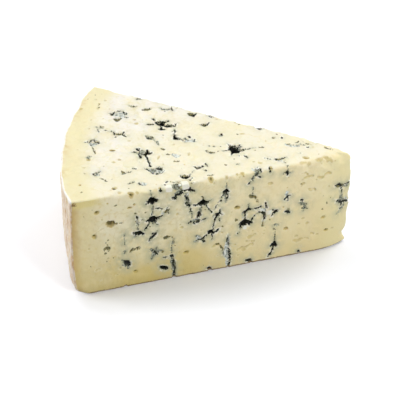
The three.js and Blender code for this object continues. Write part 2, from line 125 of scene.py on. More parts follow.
FRONT_STROKES = (
    (OLIVE, 0.8, (21.2, 16.2, 0.4), (22.2, 17.0, 0.55)),
    (OLIVE, 0.8, (23.3, 16.8, 0.45), (24.5, 17.0, 0.35)),
    (GREY, 0.6, (19.1, 16.4, 0.5)),
    (GREY, 0.2, (19.0, 24.6, 0.16), (19.1, 20.0, 0.16)),
    (DARK, 1.5, (19.2, 11.8, 0.5), (19.9, 10.9, 1.0), (20.7, 10.3, 0.5)),
    (GREY, 0.5, (18.0, 12.7, 0.4), (19.0, 12.0, 0.8), (20.2, 12.2, 0.4)),
    (GREY, 0.4, (18.2, 10.4, 0.35), (19.6, 10.2, 0.9), (20.3, 9.0, 0.4)),
    (GREY, 0.9, (29.0, 11.0, 0.35), (30.4, 13.1, 1.1), (28.9, 15.5, 0.4)),
    (DARK, 0.9, (30.5, 13.1, 0.45), (31.5, 12.5, 0.25)),
    (DARK, 0.6, (29.9, 14.4, 0.3)),
    (GREY, 0.6, (31.0, 15.6, 0.35), (31.0, 14.0, 0.6), (33.0, 13.8, 0.3)),
    (GREY, 0.7, (37.5, 18.0, 0.3), (37.4, 16.4, 0.6)),
    (GREY, 0.3, (36.9, 15.6, 0.3), (36.8, 12.0, 0.25)),
    (DARK, 0.9, (36.8, 10.4, 0.65)),
    (GREY, 0.8, (36.9, 9.6, 0.4), (37.3, 7.6, 0.9), (37.6, 5.6, 0.9), (37.8, 3.0, 0.55), (37.8, 0.6, 0.8)),
    (DARK, 0.8, (37.7, 8.2, 0.25), (37.5, 6.4, 0.36), (38.1, 4.4, 0.26), (38.0, 1.6, 0.28),
     (37.9, -0.2, 0.32)),
    (DARK, 0.5, (34.0, 10.5, 0.25), (35.0, 10.3, 0.25)),
    (DARK, 2.0, (32.6, 6.4, 0.35), (33.6, 5.6, 0.75), (34.8, 5.3, 0.7), (35.4, 5.1, 0.3)),
    (DARK, 0.9, (51.3, 1.4, 0.7), (52.0, 0.0, 0.5)),
    (PALE, 0.9, (58.8, 15.6, 0.2), (58.7, 12.5, 0.5), (58.2, 9.5, 0.8), (57.9, 7.0, 1.1),
     (58.6, 4.5, 0.8), (58.8, 0.0, 0.5)),
    (DARK, 1.0, (58.7, 15.2, 0.18), (58.4, 12.6, 0.3), (59.1, 11.0, 0.25)),
    (DARK, 1.1, (59.2, 8.6, 0.25), (59.5, 6.0, 0.35), (59.6, 3.6, 0.35), (59.2, 1.0, 0.25)),
    (DARK, 0.6, (56.9, 8.2, 0.22), (57.0, 6.6, 0.25)),
    (CHIP, 0.6, (52.6, 10.9, 0.3), (54.2, 12.0, 0.4), (55.4, 11.2, 0.3), (56.4, 9.7, 0.3)),
    (OLIVE, 0.5, (53.9, 12.1, 0.3), (55.0, 11.8, 0.35)),
    (OLIVE, 0.6, (55.9, 10.4, 0.35), (56.7, 9.2, 0.3), (57.0, 8.4, 0.25)),
    (DARK, 1.7, (77.1, 8.3, 0.35), (76.9, 6.7, 0.95), (77.8, 5.9, 0.4)),
    (GREY, 0.2, (77.2, 13.8, 0.16), (77.1, 9.0, 0.16)),
    (DARK, 1.0, (65.9, 1.9, 0.4), (67.3, 1.5, 0.75), (68.0, 0.4, 0.35)),
    (DARK, 0.7, (86.8, 1.5, 0.45)),
    (OLIVE, 0.6, (19.2, 0.4, 0.8)),
    (DARK, 2.6, (28.5, 36.5, 0.5), (29.7, 36.8, 1.15), (30.9, 36.9, 0.65), (31.9, 36.6, 0.2)),
    (DARK, 0.9, (28.6, 36.2, 0.3), (27.5, 35.8, 0.25)),
    (DARK, 0.9, (30.0, 36.0, 0.45), (29.9, 35.0, 0.25)),
    (GREY, 0.5, (29.9, 35.3, 0.25), (29.9, 33.4, 0.4), (29.8, 31.4, 0.35)),
    (DARK, 0.6, (29.4, 31.0, 0.3)),
    (GREY, 0.3, (29.9, 38.4, 0.15), (29.5, 40.0, 0.14), (29.3, 41.9, 0.12)),
    (DARK, 0.8, (30.9, 33.4, 0.2), (32.2, 33.0, 0.3), (33.4, 32.4, 0.25)),
    (DARK, 2.8, (27.0, 28.3, 0.15), (28.4, 28.6, 0.5), (29.9, 28.8, 1.2), (31.2, 28.9, 0.6),
     (32.4, 29.1, 0.3)),
    (DARK, 0.9, (32.2, 29.1, 0.3), (33.5, 29.6, 0.2)),
    (DARK, 0.8, (28.7, 27.9, 0.3), (28.1, 26.3, 0.22), (27.3, 25.2, 0.32), (26.8, 24.6, 0.15)),
    (DARK, 0.8, (30.6, 27.9, 0.35), (30.9, 26.8, 0.2), (31.7, 26.0, 0.2)),
    (DARK, 0.6, (25.7, 29.4, 0.2), (26.4, 29.4, 0.3)),
    (GREY, 0.4, (29.8, 27.4, 0.4), (29.9, 26.3, 0.3)),
    (DARK, 1.0, (23.7, 31.2, 0.25), (24.1, 30.6, 0.5), (24.2, 29.8, 0.15)),
    (DARK, 0.5, (23.8, 28.3, 0.25), (24.7, 28.6, 0.15)),
    (GREY, 0.4, (24.2, 29.6, 0.18), (24.2, 27.6, 0.35), (24.1, 25.2, 0.3)),
    (DARK, 2.2, (22.4, 24.1, 0.25), (23.4, 23.7, 0.7), (24.5, 23.5, 0.8), (25.7, 23.1, 0.35),
     (26.4, 22.7, 0.15)),
    (GREY, 0.4, (22.8, 22.2, 0.3), (24.2, 22.3, 0.25)),
    (DARK, 1.2, (28.6, 19.3, 0.35), (29.2, 20.4, 0.3), (30.0, 20.9, 0.35), (30.9, 21.5, 0.5)),
    (DARK, 0.6, (30.7, 22.1, 0.25), (29.7, 22.2, 0.3)),
    (GREY, 0.3, (30.9, 22.2, 0.25), (31.7, 23.3, 0.15)),
    (OLIVE, 1.0, (34.3, 19.1, 0.55), (35.2, 19.2, 0.7), (36.0, 19.3, 0.25)),
    (OLIVE, 0.5, (36.4, 19.3, 0.3), (37.2, 19.1, 0.2)),
    (OLIVE, 0.9, (34.7, 30.6, 0.4), (35.1, 31.3, 0.5), (35.5, 32.3, 0.2)),
    (OLIVE, 0.4, (35.2, 31.2, 0.3), (36.5, 31.6, 0.15)),
    (DARK, 0.5, (35.4, 31.0, 0.2), (36.0, 30.2, 0.15)),
    (DARK, 0.5, (35.2, 31.7, 0.15), (35.6, 32.7, 0.2)),
    (PALE, 0.2, (33.5, 30.8, 0.5), (33.9, 29.9, 0.3)),
    (GREY, 0.9, (38.3, 37.7, 0.45), (39.2, 38.3, 0.7), (40.4, 38.7, 0.75), (41.5, 38.8, 0.5)),
    (DARK, 1.4, (37.3, 36.5, 0.3), (38.4, 36.1, 0.45), (38.9, 36.9, 0.4)),
    (DARK, 0.9, (38.9, 37.0, 0.35), (39.7, 37.4, 0.35), (40.6, 37.9, 0.3), (41.3, 38.2, 0.2)),
    (DARK, 1.2, (41.3, 38.9, 0.3), (42.4, 39.2, 0.6), (43.5, 38.8, 0.45), (44.6, 38.2, 0.38),
     (45.7, 38.0, 0.25)),
    (PALE, 0.6, (43.2, 36.9, 0.5), (43.6, 37.6, 0.3)),
    (GREY, 0.8, (42.4, 37.4, 0.3), (42.9, 35.6, 0.45), (43.2, 33.6, 0.65), (43.8, 32.2, 0.6),
     (44.2, 30.8, 0.3)),
    (DARK, 1.0, (42.1, 36.5, 0.25), (42.6, 35.4, 0.25)),
    (DARK, 1.2, (43.0, 34.7, 0.5)),
    (DARK, 0.8, (43.6, 34.0, 0.25)),
    (DARK, 0.9, (42.6, 33.1, 0.35), (43.2, 32.7, 0.25)),
    (DARK, 1.2, (43.3, 32.0, 0.4), (44.0, 31.4, 0.35)),
    (DARK, 0.7, (44.2, 30.4, 0.3), (44.3, 29.4, 0.2), (44.7, 28.4, 0.2)),
    (DARK, 0.6, (44.1, 28.9, 0.35)),
    (GREY, 0.3, (44.8, 28.0, 0.25), (44.7, 26.4, 0.15)),
    (DARK, 2.4, (46.9, 31.5, 0.2), (48.0, 31.8, 0.65), (49.1, 32.1, 0.9), (50.3, 32.0, 0.5),
     (51.0, 32.1, 0.2)),
    (DARK, 0.9, (50.7, 32.0, 0.25), (52.0, 32.6, 0.15)),
    (DARK, 0.9, (48.9, 32.6, 0.5), (49.1, 33.6, 0.25)),
    (OLIVE, 0.8, (48.6, 34.9, 0.35), (49.1, 34.2, 0.3)),
    (DARK, 0.6, (45.4, 31.6, 0.3), (46.0, 31.4, 0.12)),
    (DARK, 0.7, (49.9, 31.4, 0.3), (50.6, 29.8, 0.18), (51.3, 28.6, 0.15), (52.3, 27.2, 0.35)),
    (GREY, 0.6, (48.3, 30.0, 0.3), (47.9, 28.8, 0.45), (47.5, 27.3, 0.4)),
    (DARK, 0.9, (47.6, 29.2, 0.3)),
    (DARK, 1.2, (47.2, 28.1, 0.3), (47.8, 27.1, 0.5), (47.0, 26.3, 0.35)),
    (PALE, 0.5, (44.4, 24.8, 0.5), (45.8, 25.0, 0.75), (47.2, 24.8, 0.45)),
    (DARK, 3.0, (63.4, 18.8, 0.42), (64.3, 19.2, 0.8), (65.5, 19.4, 0.98), (66.7, 19.1, 0.72),
     (67.9, 18.9, 0.3)),
    (DARK, 1.2, (66.6, 18.8, 0.45), (67.0, 18.0, 0.3)),
    (DARK, 1.2, (63.6, 18.2, 0.45), (63.6, 17.4, 0.3)),
    (DARK, 1.2, (65.0, 24.0, 0.35), (65.8, 24.4, 0.45), (66.7, 25.2, 0.45), (67.6, 24.9, 0.25)),
    (DARK, 1.1, (65.4, 24.0, 0.45), (65.4, 22.4, 0.35), (65.5, 20.3, 0.25)),
    (GREY, 0.5, (64.9, 24.2, 0.5), (64.8, 23.2, 0.3)),
    (PALE, 0.3, (64.6, 21.6, 0.35)),
    (GREY, 0.3, (66.6, 27.6, 0.15), (66.6, 25.7, 0.2)),
    (OLIVE, 1.0, (67.0, 31.3, 0.4), (68.0, 30.6, 0.7), (69.2, 30.0, 0.5)),
    (GREY, 0.2, (68.3, 34.5, 0.15), (68.2, 31.6, 0.2)),
    (OLIVE, 0.7, (69.9, 28.7, 0.4), (70.1, 28.0, 0.2)),
    (DARK, 0.6, (69.0, 25.1, 0.3), (70.1, 25.1, 0.35), (71.3, 25.7, 0.4)),
    (GREY, 0.3, (67.6, 25.0, 0.2), (69.2, 25.1, 0.2)),
    (DARK, 1.0, (73.2, 27.0, 0.3), (73.3, 25.6, 0.42), (73.6, 24.6, 0.35)),
    (PALE, 0.7, (71.5, 24.2, 0.6), (72.4, 23.6, 0.9)),
    (DARK, 1.2, (75.6, 20.4, 0.3), (76.3, 21.4, 0.45), (76.9, 22.0, 0.45), (77.9, 22.3, 0.3)),
    (DARK, 0.6, (76.2, 23.0, 0.3), (75.6, 22.9, 0.2)),
    (DARK, 1.0, (70.6, 23.3, 0.3), (71.6, 22.5, 0.4), (72.7, 22.1, 0.4)),
    (DARK, 1.1, (72.8, 22.3, 0.35), (72.9, 19.8, 0.4), (72.6, 19.0, 0.2)),
    (OLIVE, 0.5, (72.3, 18.5, 0.25), (72.1, 17.4, 0.15)),
    (OLIVE, 0.6, (72.2, 16.7, 0.4)),
    (DARK, 0.8, (68.0, 20.2, 0.3), (68.4, 20.8, 0.4), (69.0, 21.9, 0.25)),
    (OLIVE, 0.2, (69.2, 22.2, 0.2), (70.4, 22.8, 0.15)),
    (OLIVE, 0.7, (61.7, 21.3, 0.35), (62.2, 20.9, 0.35)),
    (DARK, 0.5, (62.4, 15.2, 0.35)),
    (OLIVE, 0.4, (63.2, 15.6, 0.25)),
    (DARK, 0.9, (81.4, 20.9, 0.35), (82.1, 20.6, 0.5), (82.9, 20.5, 0.25)),
    (OLIVE, 0.4, (82.2, 21.5, 0.4), (82.2, 22.3, 0.2)),
    (DARK, 0.8, (80.7, 26.7, 0.3), (81.7, 27.3, 0.4), (82.7, 28.0, 0.25)),
    (DARK, 0.5, (81.8, 26.9, 0.3), (82.0, 26.0, 0.25)),
    (PALE, 0.5, (81.4, 28.6, 0.7), (81.8, 29.8, 0.5)),
    (GREY, 0.4, (76.8, 15.9, 0.3), (77.6, 15.9, 0.35), (78.2, 15.4, 0.3)),
    (OLIVE, 0.4, (76.7, 14.2, 0.35)),
    (DARK, 0.8, (76.5, 5.4, 0.3), (75.9, 3.1, 0.35), (74.9, 2.1, 0.3), (74.4, 1.3, 0.15)),
    (DARK, 0.6, (76.5, 6.6, 0.4), (75.5, 6.5, 0.2)),
    (DARK, 1.0, (87.4, 24.9, 0.45)),
    (GREY, 0.7, (86.6, 24.1, 0.3), (87.4, 23.4, 0.6), (88.3, 22.6, 0.6), (88.9, 21.4, 0.55),
     (88.2, 20.0, 0.25)),
    (GREY, 0.4, (88.3, 22.9, 0.3), (89.7, 23.3, 0.16)),
    (OLIVE, 0.5, (87.7, 21.1, 0.3), (88.9, 20.9, 0.3), (89.8, 20.6, 0.2)),
    (OLIVE, 0.7, (11.5, 19.0, 0.35), (12.5, 19.4, 0.75), (13.8, 19.3, 0.25)),
    (OLIVE, 0.4, (12.9, 18.9, 0.5), (13.3, 18.2, 0.25)),
    (OLIVE, 0.3, (12.0, 17.2, 0.3), (11.4, 17.1, 0.2)),
    (OLIVE, 0.3, (12.9, 23.0, 0.25)),
    (OLIVE, 0.3, (12.0, 22.0, 0.22)),
    (OLIVE, 0.3, (12.5, 20.9, 0.25)),
    (OLIVE, 0.3, (12.7, 14.9, 0.25)),
    (OLIVE, 0.3, (14.7, 14.7, 0.18)),
    (OLIVE, 0.3, (12.2, 13.4, 0.22)),
    (OLIVE, 1.2, (12.9, 30.5, 0.55), (14.4, 30.7, 0.65)),
    (OLIVE, 0.3, (15.4, 29.9, 0.3), (16.5, 29.9, 0.15), (18.2, 29.5, 0.1)),
    (CHIP, 0.3, (11.6, 28.7, 0.12), (9.0, 27.6, 0.18), (7.9, 26.5, 0.25)),
    (CHIP, 1.0, (87.4, 34.0, 0.25), (88.3, 34.6, 0.5), (89.6, 35.0, 0.5), (90.9, 35.1, 0.4),
     (91.7, 35.2, 0.2)),
    (CHIP, 1.0, (93.4, 34.3, 0.35), (94.9, 33.6, 0.5), (95.9, 33.9, 0.3)),
    (CHIP, 1.1, (96.2, 34.8, 0.35), (97.5, 35.2, 0.6), (98.7, 34.6, 0.3)),
    (CHIP, 0.9, (90.0, 29.5, 0.4), (91.0, 29.0, 0.5), (92.0, 29.3, 0.45), (92.5, 28.5, 0.35)),
    (CHIP, 0.7, (87.4, 31.9, 0.5), (88.4, 32.3, 0.3)),
    (CHIP, 0.7, (87.0, 36.7, 0.25), (88.4, 36.9, 0.4), (89.6, 36.3, 0.25)),
    (CHIP, 0.8, (86.7, 41.3, 0.3), (89.5, 40.9, 0.5), (89.9, 41.6, 0.3)),
    (CHIP, 0.9, (92.6, 41.5, 0.4), (94.0, 41.0, 0.55), (95.4, 41.3, 0.35)),
    (CHIP, 1.0, (97.4, 40.6, 0.5), (98.9, 39.8, 0.5)),
    (CHIP, 0.8, (84.6, 7.0, 0.35), (86.0, 6.1, 0.5), (87.5, 6.3, 0.35)),
    (CHIP, 0.7, (89.2, 7.2, 0.4), (90.6, 6.5, 0.35)),
    (CHIP, 0.6, (91.5, 8.7, 0.35), (92.6, 8.3, 0.3)),
    (CHIP, 0.8, (62.6, 7.4, 0.35), (64.2, 7.9, 0.5), (65.8, 7.6, 0.35), (67.2, 8.7, 0.4),
     (68.6, 9.1, 0.25)),
    (CHIP, 0.7, (66.9, 12.8, 0.4), (68.4, 12.6, 0.45), (69.6, 13.5, 0.3)),
    (CHIP, 0.6, (65.9, 10.6, 0.35), (67.4, 10.4, 0.35)),
    (CHIP, 0.4, (8.0, 10.2, 0.25), (8.9, 10.6, 0.3), (9.7, 10.5, 0.2)),
    (OLIVE, 0.2, (4.3, 35.3, 0.2)),
    (OLIVE, 0.2, (7.3, 37.9, 0.22)),
    (OLIVE, 0.2, (15.7, 37.6, 0.22), (16.4, 38.1, 0.2)),
    (OLIVE, 0.2, (96.0, 25.3, 0.22)),
    (OLIVE, 0.2, (97.6, 21.6, 0.24)),
    (OLIVE, 0.2, (99.1, 23.6, 0.18)),
    (GREY, 0.6, (44.6, 24.3, 0.4), (46.2, 24.3, 0.5), (47.6, 24.3, 0.3)),
    (DARK, 0.7, (43.5, 24.0, 0.25), (44.7, 24.3, 0.25)),
    (DARK, 0.8, (45.3, 23.6, 0.25), (46.2, 23.7, 0.35), (47.0, 24.1, 0.3), (47.6, 24.4, 0.2)),
    (DARK, 0.5, (48.1, 24.3, 0.15), (49.0, 24.6, 0.2), (49.9, 24.9, 0.2)),
    (DARK, 1.8, (57.1, 34.9, 0.4), (57.9, 35.0, 0.8), (58.7, 34.8, 0.3)),
    (DARK, 0.7, (58.3, 34.2, 0.35), (58.6, 32.9, 0.25), (58.3, 31.8, 0.2)),
    (GREY, 0.8, (57.6, 34.0, 0.45), (57.8, 32.4, 0.5), (57.9, 30.4, 0.25)),
    (PALE, 0.5, (57.2, 33.2, 0.35), (57.4, 31.8, 0.25)),
    (DARK, 0.8, (56.0, 31.2, 0.4)),
    (DARK, 0.5, (56.2, 33.0, 0.2), (56.9, 33.7, 0.25)),
    (DARK, 0.6, (54.1, 29.3, 0.3), (53.8, 28.3, 0.25)),
    (GREY, 0.3, (55.6, 31.4, 0.2), (54.5, 30.6, 0.15), (54.1, 29.3, 0.15)),
    (GREY, 0.3, (58.0, 36.0, 0.18), (58.0, 38.9, 0.12)),
    (DARK, 1.0, (55.7, 27.4, 0.3), (55.4, 26.7, 0.25)),
    (DARK, 1.5, (55.4, 25.8, 0.45), (54.6, 25.2, 0.6), (54.0, 24.2, 0.35), (53.6, 23.1, 0.28)),
    (DARK, 0.8, (53.5, 22.5, 0.25), (53.1, 21.2, 0.15), (52.9, 19.9, 0.3)),
    (DARK, 0.5, (55.6, 25.3, 0.2), (56.7, 25.3, 0.15)),
    (DARK, 0.6, (55.3, 23.8, 0.12), (55.4, 22.6, 0.32)),
    (GREY, 0.4, (54.0, 25.9, 0.4), (53.0, 25.3, 0.25)),
    (DARK, 1.3, (55.5, 18.9, 0.18), (54.6, 18.2, 0.35), (53.7, 17.8, 0.3)),
    (DARK, 1.7, (53.2, 17.6, 0.3), (52.3, 17.8, 0.6), (51.4, 17.6, 0.35)),
    (DARK, 0.9, (51.2, 17.4, 0.25), (49.9, 16.7, 0.25), (49.2, 15.9, 0.4), (48.3, 15.3, 0.35)),
    (DARK, 0.6, (48.3, 15.2, 0.25), (47.4, 15.4, 0.2)),
    (DARK, 0.6, (48.6, 15.0, 0.15), (49.4, 14.3, 0.3)),
    (DARK, 0.8, (52.6, 17.2, 0.3), (52.6, 16.0, 0.2), (52.5, 14.8, 0.15)),
    (PALE, 0.6, (46.3, 15.8, 0.4), (47.2, 16.4, 0.75), (48.2, 16.5, 0.4)),
    (GREY, 0.5, (46.4, 17.4, 0.25), (47.6, 17.3, 0.25)),
    (GREY, 0.5, (45.8, 15.0, 0.4), (47.0, 15.1, 0.35)),
    (GREY, 0.5, (52.9, 18.8, 0.4), (51.2, 18.4, 0.35)),
    (GREY, 1.0, (70.9, 41.2, 0.45), (69.7, 40.4, 0.7), (68.6, 39.3, 0.45), (67.8, 38.3, 0.35)),
    (DARK, 0.9, (71.2, 41.4, 0.35)),
    (DARK, 0.8, (70.9, 38.9, 0.35), (70.2, 39.3, 0.2)),
    (OLIVE, 0.8, (69.4, 39.8, 0.45), (70.2, 40.6, 0.3)),
    (DARK, 0.8, (67.8, 38.5, 0.35), (68.1, 37.7, 0.2)),
    (DARK, 0.9, (66.5, 36.5, 0.3), (67.4, 37.2, 0.22)),
    (OLIVE, 1.5, (80.5, 38.8, 0.3), (81.5, 38.7, 0.7), (82.3, 38.5, 0.25)),
    (DARK, 1.6, (81.5, 38.5, 0.45), (81.5, 37.4, 0.2)),
    (GREY, 0.3, (82.2, 38.5, 0.2), (83.3, 38.4, 0.15)),
    (GREY, 0.3, (80.5, 38.8, 0.2), (79.6, 38.7, 0.15)),
    (GREY, 0.3, (81.6, 39.4, 0.18), (81.6, 41.2, 0.22)),
    (GREY, 0.7, (38.2, 41.0, 0.6), (39.4, 40.5, 0.7), (40.4, 39.8, 0.5)),
    (OLIVE, 0.8, (38.0, 42.4, 0.25), (38.3, 41.4, 0.3), (38.7, 40.4, 0.25)),
    (OLIVE, 0.7, (40.1, 42.3, 0.2), (39.7, 41.5, 0.25), (40.2, 40.7, 0.25), (41.0, 40.9, 0.2),
     (41.1, 41.8, 0.2)),
    (OLIVE, 0.6, (44.4, 41.2, 0.3), (44.2, 40.3, 0.25)),
    (DARK, 0.5, (45.0, 42.0, 0.3)),
    (DARK, 0.4, (45.6, 41.3, 0.2)),
)

# On the nose, u is the distance from its front edge.
NOSE_STROKES = (
    (OLIVE, 1.4, (-2.2, 28.7, 0.3), (-0.9, 28.3, 0.9), (0.5, 27.8, 0.7), (1.6, 27.2, 0.3)),
    (DARK, 1.5, (-1.9, 28.4, 0.3), (-0.8, 28.6, 0.5), (0.3, 27.8, 0.35)),
    (DARK, 0.7, (1.6, 27.6, 0.3), (2.6, 27.7, 0.25), (4.4, 28.0, 0.3)),
    (GREY, 0.5, (1.6, 27.0, 0.5), (3.2, 26.6, 0.5)),
    (DARK, 0.8, (0.3, 27.2, 0.35), (0.6, 25.4, 0.3), (0.6, 23.4, 0.15)),
    (GREY, 0.6, (0.5, 24.0, 0.4), (0.2, 21.6, 0.7), (1.4, 20.8, 0.6)),
    (DARK, 1.0, (-1.2, 21.0, 0.35), (0.6, 20.3, 0.55), (2.4, 19.8, 0.4), (4.4, 19.2, 0.3)),
    (DARK, 0.8, (0.5, 20.0, 0.4), (0.5, 18.6, 0.4), (0.2, 17.2, 0.2)),
    (DARK, 0.5, (-2.6, 22.0, 0.25), (-1.6, 21.2, 0.15)),
    (GREY, 0.4, (1.6, 18.6, 0.5), (0.2, 16.6, 0.4), (-0.8, 15.2, 0.25)),
    (PALE, 0.3, (2.2, 21.2, 0.4), (3.4, 20.6, 0.3)),
)

